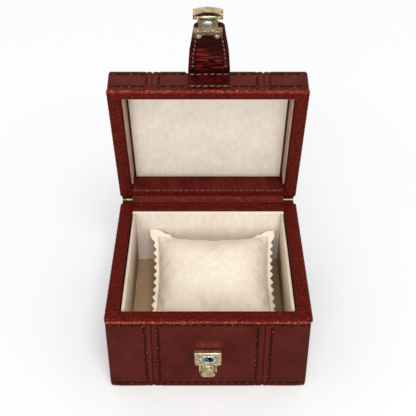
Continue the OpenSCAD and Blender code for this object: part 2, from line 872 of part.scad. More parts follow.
module lock_spring() {
    wire = 0.18;
    r = 0.62;
    sides = 6;
    steps = 8 * spring_turns;
    z0 = ledge_z + ledge_t + wire + 0.02;
    z1 = housing_low - 0.9;
    pitch = (min(hollow[1], z1 + 1) - wire - 0.02 - z0) / spring_turns;
    points = [for (i = [0:steps]) each spring_ring(i * 45, pitch, r, wire, sides)];
    sides_faces = [for (i = [0:steps - 1], k = [0:sides - 1])
        let (a = i * sides + k, b = i * sides + (k + 1) % sides)
        each [[a, a + sides, b], [b, a + sides, b + sides]]];
    low_cap = [for (k = [1:sides - 2]) [0, k, k + 1]];
    top = steps * sides;
    high_cap = [for (k = [1:sides - 2]) [top, top + k + 1, top + k]];
    color("silver") translate([0, front_y - 1.75, z0])
        polyhedron(points, concat(sides_faces, low_cap, high_cap));
}

// Pillow: a crowned cover, drawn in between its corners, with a pinked seam edge
pillow_nu = 24;
pillow_nv = 20;

function seam_x(u, v) = u * (pillow_w / 2 - pillow_pull * (1 - v * v));
function seam_y(u, v) = v * (pillow_l / 2 - pillow_end_pull / 2 * (1 - u * u) * (1 + v));
function puff(u, v) = pow(1 - pow(abs(u), 2.6), 0.62) * pow(1 - pow(abs(v), 2.6), 0.62);
function rest_w(y) = -(pillow_z + y * sin(tilt) - floor_top - fit) / cos(tilt);
function top_point(u, v) = [seam_x(u, v), seam_y(u, v), pillow_crown * puff(u, v) + 0.3];
function low_point(u, v) = [seam_x(u, v), seam_y(u, v),
    max(-pillow_crown * puff(u, v) - 0.3, rest_w(seam_y(u, v)))];

// Grid lines lie closer together near the seam
function spread(t) = sin(90 * t);

module pillow_cover() {
    nu = pillow_nu;
    nv = pillow_nv;
    row = nu + 1;
    us = [for (i = [0:nu]) spread(2 * i / nu - 1)];
    vs = [for (j = [0:nv]) spread(2 * j / nv - 1)];
    top = [for (j = [0:nv], i = [0:nu]) top_point(us[i], vs[j])];
    low = [for (j = [0:nv], i = [0:nu]) low_point(us[i], vs[j])];
    n = len(top);
    cells = [for (j = [0:nv - 1], i = [0:nu - 1]) j * row + i];
    faces_top = [for (a = cells) each [[a, a + row, a + 1], [a + 1, a + row, a + row + 1]]];
    faces_low = [for (a = cells) each [[n + a, n + a + 1, n + a + row],
        [n + a + 1, n + a + row + 1, n + a + row]]];
    edge = concat([for (i = [0:nu - 1]) [i, i + 1]],
        [for (j = [0:nv - 1]) [j * row + nu, (j + 1) * row + nu]],
        [for (i = [nu:-1:1]) [nv * row + i, nv * row + i - 1]],
        [for (j = [nv:-1:1]) [j * row, (j - 1) * row]]);
    faces_edge = [for (e = edge) each [[e[0], e[1], n + e[1]], [e[0], n + e[1], n + e[0]]]];
    polyhedron(concat(top, low), concat(faces_top, faces_low, faces_edge));
}

// Teeth along one side: t runs from -1 to 1, and every second point stands out
function side_teeth(count) = [for (i = [0:2 * count - 1]) [-1 + i / count, i % 2]];
function tooth_reach(t, out) = pinked_w * (out > 0 ? 1 : 0.45) + 1.2 * pow(abs(t), 6);

module pinked_edge() {
    across = round(pillow_w / pinked_pitch);
    along = round(pillow_l / pinked_pitch);
    bottom = [for (p = side_teeth(across)) [seam_x(p[0], -1), seam_y(p[0], -1) - tooth_reach(p[0], p[1])]];
    right = [for (p = side_teeth(along)) [seam_x(1, p[0]) + tooth_reach(p[0], p[1]), seam_y(1, p[0])]];
    back = [for (p = side_teeth(across)) [seam_x(-p[0], 1), seam_y(-p[0], 1) + tooth_reach(p[0], p[1])]];
    left = [for (p = side_teeth(along)) [seam_x(-1, -p[0]) - tooth_reach(p[0], p[1]), seam_y(-1, -p[0])]];
    translate([0, 0, -pinked_t / 2]) linear_extrude(pinked_t) polygon(concat(bottom, right, back, left));
}

module pillow() {
    color("bisque") translate([pillow_x, pillow_y, pillow_z]) rotate([tilt, 0, 0]) {
        pillow_cover();
        pinked_edge();
    }
}

base_bottom_board();
base_front_board();
base_back_board();
base_left_board();
base_right_board();
front_leather_left();
front_leather_centre();
front_leather_right();
side_leather_left();
side_leather_right();
back_leather();
bottom_cover();
base_rim_front();
base_rim_left();
base_rim_right();
lining_front();
lining_back();
lining_left();
lining_right();
floor_pad();
hinge_base_leaf();
hinge_pin();
hinge_base_screws();
hinge_gusset();
lock_back_plate();
lock_housing();
lock_socket();
lock_rivets();
lock_spring();
lock_slide();
pillow();
lid_top_board();
lid_front_board();
lid_back_board();
lid_left_board();
lid_right_board();
lid_leather_left();
lid_leather_centre();
lid_leather_right();
lid_side_leather_left();
lid_side_leather_right();
lid_rim_front();
lid_rim_left();
lid_rim_right();
lid_panel();
lid_lining_front();
lid_lining_left();
lid_lining_right();
lid_back_lining();
hinge_lid_leaf();
hinge_lid_screws();
strap_anchor();
strap();
hasp_plate();
hasp_rivets();
hasp_stud();
hasp_pin();
hasp_hood();
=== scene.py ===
import json
import math
import random
from contextlib import contextmanager

import bpy
from mathutils import Matrix, Vector, noise

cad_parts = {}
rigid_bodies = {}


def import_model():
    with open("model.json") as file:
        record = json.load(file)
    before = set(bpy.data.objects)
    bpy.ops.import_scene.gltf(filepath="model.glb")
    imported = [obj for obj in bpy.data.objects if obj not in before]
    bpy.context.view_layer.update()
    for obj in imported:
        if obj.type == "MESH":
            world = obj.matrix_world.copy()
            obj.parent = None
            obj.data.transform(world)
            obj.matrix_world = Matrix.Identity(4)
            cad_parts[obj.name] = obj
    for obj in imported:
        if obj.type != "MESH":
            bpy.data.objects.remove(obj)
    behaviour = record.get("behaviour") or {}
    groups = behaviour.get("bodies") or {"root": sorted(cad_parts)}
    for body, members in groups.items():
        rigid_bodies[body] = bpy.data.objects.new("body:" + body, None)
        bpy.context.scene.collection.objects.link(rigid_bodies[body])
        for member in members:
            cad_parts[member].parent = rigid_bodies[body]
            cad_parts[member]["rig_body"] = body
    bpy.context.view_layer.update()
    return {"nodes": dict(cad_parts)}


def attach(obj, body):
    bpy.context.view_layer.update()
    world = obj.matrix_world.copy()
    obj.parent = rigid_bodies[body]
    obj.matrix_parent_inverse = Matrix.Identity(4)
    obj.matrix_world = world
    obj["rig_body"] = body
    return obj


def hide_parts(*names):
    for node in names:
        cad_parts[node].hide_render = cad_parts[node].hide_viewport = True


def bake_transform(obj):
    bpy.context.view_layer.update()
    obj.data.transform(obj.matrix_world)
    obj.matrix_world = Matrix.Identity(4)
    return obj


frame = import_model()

mm = 0.001
print("frame loaded:", len(frame["nodes"]), "nodes")

# Sizes are in millimetres. The lid's pieces are made closed and then turned open with the lid.
case = {"halfW": 55.0, "halfD": 51.0, "wall": 7.0, "baseTop": 51.5, "groove": 30.7, "grooveW": 0.4}
lid = {"low": 52.94, "core": 53.94, "top": 67.94, "puff": 1.25, "edgeR": 3.4, "open": 72.0,
       "pinY": 52.54, "pinZ": 53.49, "taper": 0.0135}
halfW, halfD = case["halfW"], case["halfD"]

pin = Vector((0, lid["pinY"], lid["pinZ"])) * mm
openLid = Matrix.Translation(pin) @ Matrix.Rotation(math.radians(-lid["open"]), 4, "X") @ Matrix.Translation(-pin)
# u runs out over the lid's front edge and h stands on the lid's top
strapFrame = openLid @ Matrix.Translation(Vector((0, -halfD, lid["top"])) * mm) @ Matrix(
    ((0, 1, 0, 0), (-1, 0, 0, 0), (0, 0, 1, 0), (0, 0, 0, 1)))


def clamp(value, low=0.0, high=1.0):
    return max(low, min(high, value))


def evenly(low, high, count):
    return [low + (high - low) * i / count for i in range(count + 1)]


def bell(value, half):
    return math.exp(-(value / half) ** 2)


def tent(value, half):
    return max(0.0, 1 - abs(value) / half)


def noiseAt(x, y, z, size=1.0):
    return noise.noise(Vector((x, y, z)) / size)


# Finishes
def paint(red, green, blue):
    shares = [c / 255 for c in (red, green, blue)]
    return [c / 12.92 if c <= 0.04045 else ((c + 0.055) / 1.055) ** 2.4 for c in shares] + [1.0]


class Value:
    def __init__(self, nodes, out):
        self.nodes, self.out = nodes, out

    def maths(self, operation, first, second=0.0):
        return self.nodes.node("ShaderNodeMath", {"operation": operation}, {0: first, 1: second})

    def __add__(self, other):
        return self.maths("ADD", self, other)

    __radd__ = __add__

    def __mul__(self, other):
        return self.maths("MULTIPLY", self, other)

    __rmul__ = __mul__

    def __sub__(self, other):
        return self.maths("SUBTRACT", self, other)

    def __rsub__(self, other):
        return self.maths("SUBTRACT", other, self)

    def above(self, other):
        return self.maths("MAXIMUM", self, other)

    def under(self, other):
        return self.maths("MINIMUM", self, other)


class Nodes:
    def __init__(self, tree):
        self.tree = tree

    def node(self, kind, settings=None, values=None, output=0):
        made = self.tree.nodes.new(kind)
        for label, value in (settings or {}).items():
            if label == "stops":
                ramp = made.color_ramp
                while len(ramp.elements) < len(value):
                    ramp.elements.new(0.5)
                for element, (position, colour) in zip(ramp.elements, value):
                    element.position, element.color = position, paint(*colour)
            else:
                setattr(made, label, value)
        for label, value in (values or {}).items():
            self.feed(made.inputs[label], value)
        return Value(self, made.outputs[output])

    def feed(self, socket, value):
        if isinstance(value, Value):
            self.tree.links.new(value.out, socket)
        elif socket.type == "RGBA" and len(value) == 3:  # a paint
            socket.default_value = paint(*value)
        else:
            socket.default_value = value

    def seen(self, kind):
        return self.node("ShaderNodeLightPath", output="Is " + kind + " Ray")


class Finish(Nodes):
    def __init__(self, name, roughness=0.5, metallic=0.0, **constants):
        self.material = bpy.data.materials.new(name)
        self.material.use_nodes = True
        super().__init__(self.material.node_tree)
        self.shader = self.tree.nodes["Principled BSDF"]
        self.set("Roughness", roughness)
        self.set("Metallic", metallic)
        for label, value in constants.items():
            self.set(label.replace("_", " "), value)
        self.place = self.node("ShaderNodeTexCoord", output="Object")

    def set(self, label, value):
        self.feed(self.shader.inputs[label], value)

    def stretch(self, scale=(1, 1, 1), turn=(0, 0, 0)):
        return self.node("ShaderNodeMapping", {}, {"Vector": self.place, "Scale": scale, "Rotation": turn})

    def cloud(self, size, detail=3.0, rough=0.5, where=None):
        return self.node("ShaderNodeTexNoise", {}, {"Vector": where or self.place, "Scale": 1 / (size * mm),
                                                    "Detail": detail, "Roughness": rough})

    def cracks(self, size):
        return self.node("ShaderNodeTexVoronoi", {"feature": "DISTANCE_TO_EDGE"},
                         {"Vector": self.place, "Scale": 1 / (size * mm)}, "Distance")

    def ramp(self, factor, stops):
        return self.node("ShaderNodeValToRGB", {"stops": stops}, {"Fac": factor})

    def band(self, factor, low, high, start=0.0, end=1.0):
        return self.node("ShaderNodeMapRange", {}, {"Value": factor, "From Min": low, "From Max": high,
                                                    "To Min": start, "To Max": end})

    def blendColour(self, factor, first, second):
        return self.node("ShaderNodeMix", {"data_type": "RGBA"}, {0: factor, 6: first, 7: second}, 2)

    def mark(self, name):
        return self.node("ShaderNodeAttribute", {"attribute_name": name}, output="Fac")

    def along(self, axis):
        return self.node("ShaderNodeSeparateXYZ", {}, {"Vector": self.place}, axis) * (1 / mm)

    def away(self, axis, middle):
        return self.node("ShaderNodeMath", {"operation": "ABSOLUTE"}, {0: self.along(axis) - middle})

    def patch(self, x, z, halfX, halfZ, soft, ragged):
        # 1 inside a soft and ragged rectangle on the case's front
        reach = (self.away("X", x) - halfX).above(self.away("Z", z) - halfZ)
        tear = self.cloud(1.1, 4.0, 0.7, self.stretch((1.6, 1, 0.5))) - 0.5
        return self.band(reach + tear * ragged, soft, -soft)

    def bump(self, height, deep, under=None):
        values = {"Height": height, "Strength": 1.0, "Distance": deep * mm}
        if under:
            values["Normal"] = under
        return self.node("ShaderNodeBump", {}, values, "Normal")


# Leather: grain and cracks, places where "worn", "ridge" or "dark" is set on the mesh, and tones in 0 to 255. "worn" is
# rubbed wear, "ridge" a painted highlight on raised lines and crease crests, "dark" mostly painted shade in stitch
# channels, grooves, creases and recesses
leatherTones = {"rubbed": (170, 62, 36), "ridge": (150, 40, 28), "dark": (20, 5, 4),
                "scuffs": [(0.36, (66, 20, 12)), (0.62, (128, 54, 34))], "smudge": (48, 28, 24)}


def leatherFinish(name, deep, middle, light, roughness, grainDeep, spread=14.0, scuffs=False, gloss=0.04):
    leather = Finish(name, Specular_IOR_Level=gloss)
    mottle = leather.cloud(spread, 5.0, 0.6)
    fine = leather.cloud(1.3, 3.0, 0.6)
    tone = (mottle * 0.75 + fine * 0.25).above(0.0)
    colour = leather.ramp(tone, [(0.34, deep), (0.5, middle), (0.66, light)])
    pore = leather.band(leather.cracks(0.62), 0.0, 0.18)
    colour = leather.blendColour(leather.band(pore, 0.0, 1.0, 0.22, 0.0), colour, deep)
    ragged = leather.band(leather.mark("worn") * 1.15 - leather.cloud(1.6, 4.0, 0.7) * 0.75, 0.12, 0.5)
    colour = leather.blendColour(ragged, colour, leatherTones["rubbed"])
    if scuffs:
        strand = leather.cloud(0.5, 3.0, 0.7, leather.stretch((1, 1, 0.16)))
        rubbed = leather.patch(0.2, 33.6, 6.2, 2.2, 1.6, 5.0)
        colour = leather.blendColour(rubbed, colour, leather.ramp(strand, leatherTones["scuffs"]))
        # A darker strip on the leather just left of the lock
        smudge = leather.patch(-9.6, 26.0, 1.2, 4.0, 2.6, 3.0)
        colour = leather.blendColour(smudge * 0.55, colour, leatherTones["smudge"])
    # Painted highlight where "ridge" is set and painted shade where "dark" is set
    for mark in ("ridge", "dark"):
        colour = leather.blendColour(leather.mark(mark), colour, leatherTones[mark])
    leather.set("Base Color", colour)
    leather.set("Roughness", leather.band(leather.cloud(5.0, 4.0, 0.6), 0.3, 0.7, roughness - 0.06, roughness + 0.08))
    low = leather.bump(leather.cloud(3.4, 3.0, 0.5), 0.05)
    leather.set("Normal", leather.bump(pore, grainDeep, low))
    return leather.material


def suedeFinish(name, dark, light, napDeep=0.03, shade=None, **constants):
    suede = Finish(name, 0.92, **constants)
    strokes = suede.cloud(2.6, 4.0, 0.65, suede.stretch((1, 1, 0.4), (0.3, 0.7, 0.6)))
    nap = suede.cloud(0.6, 4.0, 0.7)
    broad = suede.cloud(16.0, 2.0, 0.5)
    colour = suede.ramp(strokes * 0.45 + nap * 0.3 + broad * 0.25, [(0.36, dark), (0.62, light)])
    if shade:  # painted shade: darker lower down the walls
        high, low, deep = shade
        colour = suede.blendColour(suede.band(suede.along("Z"), high, low), colour, deep)
    suede.set("Base Color", colour)
    suede.set("Normal", suede.bump(nap, napDeep, suede.bump(strokes, napDeep * 1.5)))
    return suede.material


def metalFinish(name, dull, bright, roughness, shadeTone):
    metal = Finish(name, roughness, 0.8)
    brushed = metal.cloud(0.5, 3.0, 0.6, metal.stretch((0.12, 1, 1)))
    colour = metal.ramp(metal.cloud(2.6, 3.0, 0.6), [(0.35, dull), (0.6, bright)])
    # Painted shade: faces marked "dark", those turned from the light, take the shade tone
    metal.set("Base Color", metal.blendColour(metal.mark("dark"), colour, shadeTone))
    metal.set("Roughness", metal.band(brushed, 0.3, 0.7, roughness - 0.06, roughness + 0.1))
    metal.set("Normal", metal.bump(brushed, 0.004))
    return metal.material


def grainFinish(name, dark, light, size, detail, rough, stretch=(1, 1, 1), **constants):
    # Thread and wood: one grain in two tones
    plain = Finish(name, **constants)
    grain = plain.cloud(size, detail, rough, plain.stretch(stretch))
    plain.set("Base Color", plain.ramp(grain, [(0.35, dark), (0.65, light)]))
    plain.set("Normal", plain.bump(grain, 0.05))
    return plain.material


twist = {"size": 0.5, "detail": 2.0, "rough": 0.5, "roughness": 0.5, "Specular_IOR_Level": 0.08}
panelTones = (66, 20, 15), (78, 26, 20), (88, 32, 25)
looks = {
    "leather": leatherFinish("panelLeather", *panelTones, 0.5, 0.008),
    "front": leatherFinish("frontLeather", *panelTones, 0.5, 0.008, scuffs=True),
    "lidLeather": leatherFinish("lidLeather", (72, 27, 23), (86, 36, 30), (98, 43, 37), 0.5, 0.008, gloss=0.07),
    "rim": leatherFinish("rimLeather", (58, 9, 6), (88, 20, 12), (116, 36, 22), 0.46, 0.05, 1.7),
    "inner": leatherFinish("innerLeather", (60, 14, 10), (82, 24, 17), (96, 32, 23), 0.45, 0.02, 8.0),
    "hinge": leatherFinish("hingeLeather", (54, 9, 6), (96, 20, 12), (130, 38, 25), 0.4, 0.08, 1.8, gloss=0.12),
    "strap": leatherFinish("strapLeather", (34, 5, 4), (58, 9, 7), (82, 18, 13), 0.35, 0.03, 4.0, gloss=0.08),
    # Dark glossy leather for the sheet under the strap and the blocks beside the hinge: painted reflection and shade
    "patch": leatherFinish("strapRootLeather", (36, 4, 3), (54, 7, 5), (74, 14, 10), 0.3, 0.02, 5.0, gloss=0.12),
    # The rolled edge's orange is rubbed wear; its lightest tone is a painted highlight
    "cord": leatherFinish("edgeLeather", (78, 14, 9), (124, 34, 22), (206, 104, 76), 0.4, 0.06, 1.2, gloss=0.15),
    # The puckers are lighter than the leather they are made of: painted highlight on the raised leather between
    # stitches
    "pucker": leatherFinish("stitchLeather", (84, 18, 12), (128, 38, 25), (176, 66, 44), 0.42, 0.02, 3.0),
    "bottom": leatherFinish("bottomLeather", (50, 24, 18), (64, 30, 22), (74, 36, 28), 0.7, 0.03),
    "suede": suedeFinish("liningSuede", (223, 210, 195), (242, 231, 217), Sheen_Weight=0.1),
    # The side, floor and lid edge suedes are darker copies of the lining suede, painted shade inside the case; the lid
    # edge's pink is a painted reflection of the red leather
    "side": suedeFinish("sideSuede", (206, 188, 166), (226, 210, 190), shade=(46.0, 22.0, (150, 124, 100))),
    "floor": suedeFinish("floorSuede", (146, 118, 88), (168, 140, 108)),
    "lidEdge": suedeFinish("lidEdgeSuede", (150, 112, 96), (184, 148, 130)),
    "pillow": suedeFinish("pillowSuede", (222, 208, 188), (240, 229, 212), 0.04, Sheen_Weight=0.1),
    "gold": metalFinish("claspGold", (150, 128, 92), (206, 188, 150), 0.2, (46, 32, 18)),
    "steel": metalFinish("polishedSteel", (160, 166, 174), (212, 218, 226), 0.1, (34, 40, 50)),
    # The hinge brass is darkened as painted shade for the shadow it sits in
    "brass": metalFinish("hingeBrass", (84, 74, 50), (150, 138, 104), 0.34, (20, 14, 8)),
    "thread": grainFinish("darkThread", (10, 4, 3), (34, 10, 8), **twist),
    "dusty": grainFinish("dustyThread", (80, 40, 36), (152, 114, 108), **twist),
    # The boards are dark so that where they show in the grooves they read as shade: painted shade
    "wood": grainFinish("plainWood", (30, 16, 12), (50, 28, 20), 3.0, 4.0, 0.6, (0.1, 1, 1), roughness=0.7),
}
print("finishes made:", len(looks))


# Making meshes
def pickOnly(piece):
    bpy.ops.object.select_all(action="DESELECT")
    piece.select_set(True)
    bpy.context.view_layer.objects.active = piece


@contextmanager
def editing(piece):
    # Edit mode with everything selected
    pickOnly(piece)
    bpy.ops.object.mode_set(mode="EDIT")
    bpy.ops.mesh.select_all(action="SELECT")
    yield
    bpy.ops.object.mode_set(mode="OBJECT")


def added(operator, name=None, **settings):
    bpy.ops.object.select_all(action="DESELECT")
    operator(**settings)
    piece = bpy.context.object
    if name:
        piece.name = piece.data.name = name
    return piece


def applyAll(piece):
    pickOnly(piece)
    for modifier in list(piece.modifiers):
        bpy.ops.object.modifier_apply(modifier=modifier.name)


def reshape(piece, rule):
    for vertex in piece.data.vertices:
        vertex.co = Vector(rule(*(vertex.co / mm))) * mm


def smooth(piece, angle=35):
    pickOnly(piece)
    bpy.ops.object.shade_smooth_by_angle(angle=math.radians(angle))


def softenEdges(piece, width, segments=3, angle=30):
    bevel = piece.modifiers.new("edges", "BEVEL")
    bevel.width, bevel.segments = width * mm, segments
    bevel.limit_method, bevel.angle_limit = "ANGLE", math.radians(angle)
    applyAll(piece)


def outwards(piece):
    with editing(piece):
        bpy.ops.mesh.normals_make_consistent(inside=False)


def profileBar(name, profile, stops):
    # A profile in (y, z), drawn out along x through the stops
    piece = added(bpy.ops.mesh.primitive_circle_add, name, vertices=len(profile), radius=mm, fill_type="NGON")
    for vertex, (y, z) in zip(piece.data.vertices, profile):
        vertex.co = Vector((stops[0], y, z)) * mm
    with editing(piece):
        for here, there in zip(stops, stops[1:]):
            bpy.ops.mesh.extrude_region_move(TRANSFORM_OT_translate={"value": ((there - here) * mm, 0, 0)})
    outwards(piece)
    return piece


def block(name, low, high, cuts=0):
    low, high = Vector(low) * mm, Vector(high) * mm
    piece = added(bpy.ops.mesh.primitive_cube_add, name, size=1, location=(low + high) / 2)
    piece.scale = high - low
    bpy.ops.object.transform_apply(location=True, rotation=True, scale=True)
    if cuts:
        with editing(piece):
            bpy.ops.mesh.subdivide(number_cuts=cuts)
    return piece


def setMark(piece, name, rule):
    # A value between 0 and 1 at each vertex, which the leather finishes read
    layer = piece.data.attributes.new(name, "FLOAT", "POINT")
    layer.data.foreach_set("value", [clamp(rule(*(v.co / mm))) for v in piece.data.vertices])


def joinAll(name, pieces):
    bpy.ops.object.select_all(action="DESELECT")
    for piece in pieces:
        piece.select_set(True)
    bpy.context.view_layer.objects.active = pieces[0]
    bpy.ops.object.join()
    pieces[0].name = pieces[0].data.name = name
    return pieces[0]


def dress(piece, body, look, replaced=(), inLid=False):
    if inLid:  # the lid narrows a little towards its front
        reshape(piece, lambda x, y, z: (x * (1 - lid["taper"] * (halfD - y) / (2 * halfD)), y, z))
        piece.data.transform(openLid)
    piece.data.materials.clear()
    piece.data.materials.append(looks[look])
    if replaced:
        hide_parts(*replaced)
    if body:
        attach(piece, body)
    return piece


def spaced(low, high, rows=(), step=6.0):
    # Stops along a bar, closer at its ends and round its rows of stitches
    marks = {low, high, low + 0.2, low + 0.5, high - 0.2, high - 0.5}
    marks |= {row + offset for row in rows for offset in (-1.1, -0.7, -0.35, 0, 0.35, 0.7, 1.1)}
    count = max(1, round((high - low) / step))
    marks |= {low + (high - low) * i / count for i in range(1, count)}
    kept = [low]
    for mark in sorted(marks):
        if low < mark < high and mark - kept[-1] > 0.15 and high - mark > 0.15:
            kept.append(mark)
    return kept + [high]


def dip(value, rows, depth=0.32, half=0.6):
    return sum(depth * bell(value - row, half) for row in rows)


def refine(points, marks, fine=0.4, coarse=6.0, reach=1.3):
    # Halves the steps of a path, down to the fine length near the marks
    result = [points[0]]

    def split(a, b):
        a2, b2 = Vector(a), Vector(b)
        length = (b2 - a2).length
        near = 99.0
        for mark in marks:
            t = clamp((Vector(mark) - a2).dot(b2 - a2) / max(length ** 2, 1e-9))
            near = min(near, (a2.lerp(b2, t) - Vector(mark)).length)
        if length > coarse or (near < reach and length > fine):
            middle = tuple((a2 + b2) / 2)
            split(a, middle)
            split(middle, b)
        else:
            result.append(b)

    for a, b in zip(points, points[1:]):
        split(a, b)
    return result


def pressed(path, marks, depth=0.32, half=0.6):
    # Presses the stitch channels into a path whose solid side is on its right
    result = []
    for i, point in enumerate(path):
        before, after = Vector(path[max(i - 1, 0)]), Vector(path[min(i + 1, len(path) - 1)])
        along = (after - before).normalized()
        inward = Vector((along.y, -along.x))
        deep = sum(depth * bell((Vector(point) - Vector(mark)).length, half) for mark in marks)
        result.append(tuple(Vector(point) + inward * deep))
    return result


def arc(y, z, radius, start, end, steps=6):
    angles = [math.radians(a) for a in evenly(start, end, steps)]
    return [(y + radius * math.cos(a), z + radius * math.sin(a)) for a in angles]


# Thread: one stitch and one pucker of leather, copied along every row
stitch = {"length": 3.4, "width": 0.85, "height": 0.62, "bow": 0.14, "lean": 12.0, "pitch": 4.5, "upPitch": 3.2,
          "upLean": -27.0, "sink": 0.14, "puckerSink": 0.12, "beside": 0.75, "below": -0.3, "full": 4.4}
puckerSize = (1.15, 0.95, 0.6)
oneStitch = added(bpy.ops.mesh.primitive_uv_sphere_add, segments=8, ring_count=6, radius=0.5 * mm)
reshape(oneStitch, lambda x, y, z: (math.copysign(abs(2 * z) ** 0.6, z) * stitch["length"] / 2,
                                    x * stitch["width"], -y * stitch["height"] - (2 * z) ** 2 * stitch["bow"]))
onePucker = added(bpy.ops.mesh.primitive_uv_sphere_add, segments=8, ring_count=5, radius=0.5 * mm)
reshape(onePucker, lambda x, y, z: (x * puckerSize[0], y * puckerSize[1], z * puckerSize[2]))
threads, puckers = {}, {}
dice = random.Random(7)


def copyOf(master, place):
    made = master.copy()
    made.data = master.data.copy()
    bpy.context.scene.collection.objects.link(made)
    made.data.transform(place)
    return made


def sew(group, start, end, outward, turn=None, pitch=None, lean=None, puckered=0.8):
    # A row of stitches in millimetres, with puckers of leather between them
    start, end, outward = Vector(start), Vector(end), Vector(outward)
    along = (end - start).normalized()
    steep = lean is not None and abs(lean) > 15
    count = max(1, round((end - start).length / (pitch or stitch["pitch"])))
    step = (end - start) / count
    for i in range(count + 1):
        for bump in (False, True):
            if (not bump and i == count) or (bump and dice.random() > puckered):
                continue
            tilt = math.radians((stitch["lean"] if lean is None else lean) + dice.uniform(-5, 5))
            direction = Matrix.Rotation(tilt, 3, outward) @ along
            across = outward.cross(direction)
            at = start + step * (i if bump else i + 0.5) + across * dice.uniform(-0.08, 0.08)
            if bump:
                aside = dice.choice((-stitch["beside"], stitch["beside"])) if steep else stitch["below"]
                at += across * aside + along * dice.uniform(-0.3, 0.3)
                size = dice.uniform(0.6, 1.15)
            else:
                size = dice.uniform(0.92, 1.06) * min(1.0, step.length / stitch["full"])
            at -= outward * stitch["puckerSink" if bump else "sink"]
            place = Matrix.Identity(4)
            for column, part in enumerate((direction * size, across, outward, at * mm)):
                for row in range(3):
                    place[row][column] = part[row]
            made = copyOf(onePucker if bump else oneStitch, (turn or Matrix.Identity(4)) @ place)
            (puckers if bump else threads).setdefault(group, []).append(made)


# Leather panels
panels = {"rowLow": 2.9, "rowHigh": 49.0, "backHigh": 45.0, "outerRow": 34.3, "innerRow": 26.9, "rowEnd": 2.4,
          "sideRow": 4.2, "rowGap": 1.6, "cornerX": 2.4, "cornerZ": 3.2, "low": 0.05, "edge": 0.35, "skin": 0.8}


def wobble(x, y, z, size=11.0, deep=0.05):
    return noiseAt(x, y, z, size) * deep


def edgeDip(value, low, high, reach=0.9, deep=0.6):
    near = min(value - low, high - value)
    return deep * (1 - near / reach) ** 2 if near < reach else 0.0


def ramped(value, low, high):
    share = clamp((value - low) / (high - low))
    return share * share * (3 - 2 * share)


def plump(x, y, z):
    # The lid's top swells, except under the strap
    zone = max(ramped(abs(x), 11.8, 12.5), ramped(y, -19.5, -14.0))
    return x, y, z + lid["puff"] * ramped(z, 62.5, lid["top"]) * zone


def ridgeBy(x, low, high):
    # The raised line on each side of a groove between two panels, coloured lighter as a painted highlight
    outer = [edge for edge in (low, high) if abs(edge) < halfW - 1]
    return max(0.6 * bell(abs(x - edge) - 1.1, 0.6) for edge in outer) * (0.5 if len(outer) > 1 else 1.0)


def flatPanel(name, low, high, upRows, levels, half, grooved=False):
    # A sewn panel in the plane y = -half, seen from -y
    edge, bottom, top = panels["edge"], panels["low"], case["baseTop"]
    marks = [(-half, level) for level in levels]
    outer = [(-half + 0.25, bottom), (-half, bottom + edge), (-half, top - edge), (-half + 0.25, top)]
    path = pressed(refine(outer, marks), marks)
    piece = profileBar(name, path + [(-half + 1, top), (-half + 1, bottom)], spaced(low, high, upRows))

    def rule(x, y, z):
        if y < -half + panels["skin"]:
            y += max(dip(x, upRows), 0) + edgeDip(x, low, high) - wobble(x, y, z)
        return x, y, z

    # Painted shade: darker in the stitch channels, at the panel's ends by the grooves, just under the rim and on the
    # hidden inner side
    def shade(x, y, z):
        if y >= -half + panels["skin"]:
            return 0.9
        return max(0.7 * dip(z, levels, 1, 0.75), 0.7 * dip(x, upRows, 1, 0.75), edgeDip(x, low, high, 0.35, 1.3),
                   edgeDip(z, -9, top, 2.2, 0.9))

    reshape(piece, rule)
    setMark(piece, "dark", shade)
    if grooved:
        setMark(piece, "ridge", lambda x, y, z: ridgeBy(x, low, high))
    smooth(piece, 50)
    return piece


def sewUp(group, row, half, levels, turn=None):
    # An upright row between two level ones
    sew(group, (row, -half, levels[0] + panels["rowGap"]), (row, -half, levels[1] - panels["rowGap"]), (0, -1, 0), turn,
        stitch["upPitch"], stitch["upLean"])


frontParts = {
    "Left": (-halfW, -case["groove"] - case["grooveW"] / 2, [-panels["outerRow"]]),
    "Centre": (-case["groove"] + case["grooveW"] / 2, case["groove"] - case["grooveW"] / 2,
               [-panels["innerRow"], panels["innerRow"]]),
    "Right": (case["groove"] + case["grooveW"] / 2, halfW, [panels["outerRow"]]),
}
levels = [panels["rowLow"], panels["rowHigh"]]


def roundCorner(x, y, z):
    # Rounds the case's lower corners as seen from the front
    a, b = panels["cornerX"], panels["cornerZ"]
    over, under = (abs(x) - (halfW - a)) / a, (b + panels["low"] - z) / b
    if over > 0 and under > 0 and math.hypot(over, under) > 1:
        share = 1 / math.hypot(over, under)
        x = math.copysign(halfW - a + over * share * a, x)
        z = b + panels["low"] - under * share * b
    return x, y, z


for part, (low, high, rows) in frontParts.items():
    piece = flatPanel("frontLeather" + part, low, high, rows, levels, halfD, True)
    reshape(piece, roundCorner)
    dress(piece, "base", "front", ["front_leather_" + part.lower()])
    left = low + panels["rowEnd"] if part == "Left" else rows[0]
    right = high - panels["rowEnd"] if part == "Right" else rows[-1]
    for level in levels:
        sew("baseFront", (left, -halfD, level), (right, -halfD, level), (0, -1, 0))
    for row in rows:
        sewUp("baseFront", row, halfD, levels)

turns = {side: Matrix.Rotation(math.radians(angle), 4, "Z")
         for side, angle in (("left", -90), ("right", 90), ("back", 180))}
for side, turn in turns.items():
    half = halfD if side == "back" else halfW
    reach = halfW if side == "back" else halfD - 1
    rows = [-reach + panels["sideRow"], reach - panels["sideRow"]]
    sideLevels = [panels["rowLow"], panels["backHigh" if side == "back" else "rowHigh"]]
    piece = flatPanel(side + "Leather", -reach, reach, rows, sideLevels, half)
    piece.data.transform(turn)
    reshape(piece, roundCorner)
    node = "back_leather" if side == "back" else "side_leather_" + side
    dress(piece, "base", "leather", [node])
    for level in sideLevels:
        sew("base" + side.title(), (rows[0], -half, level), (rows[1], -half, level), (0, -1, 0), turn)
    for row in rows:
        sewUp("base" + side.title(), row, half, sideLevels, turn)
print("base leather sewn")

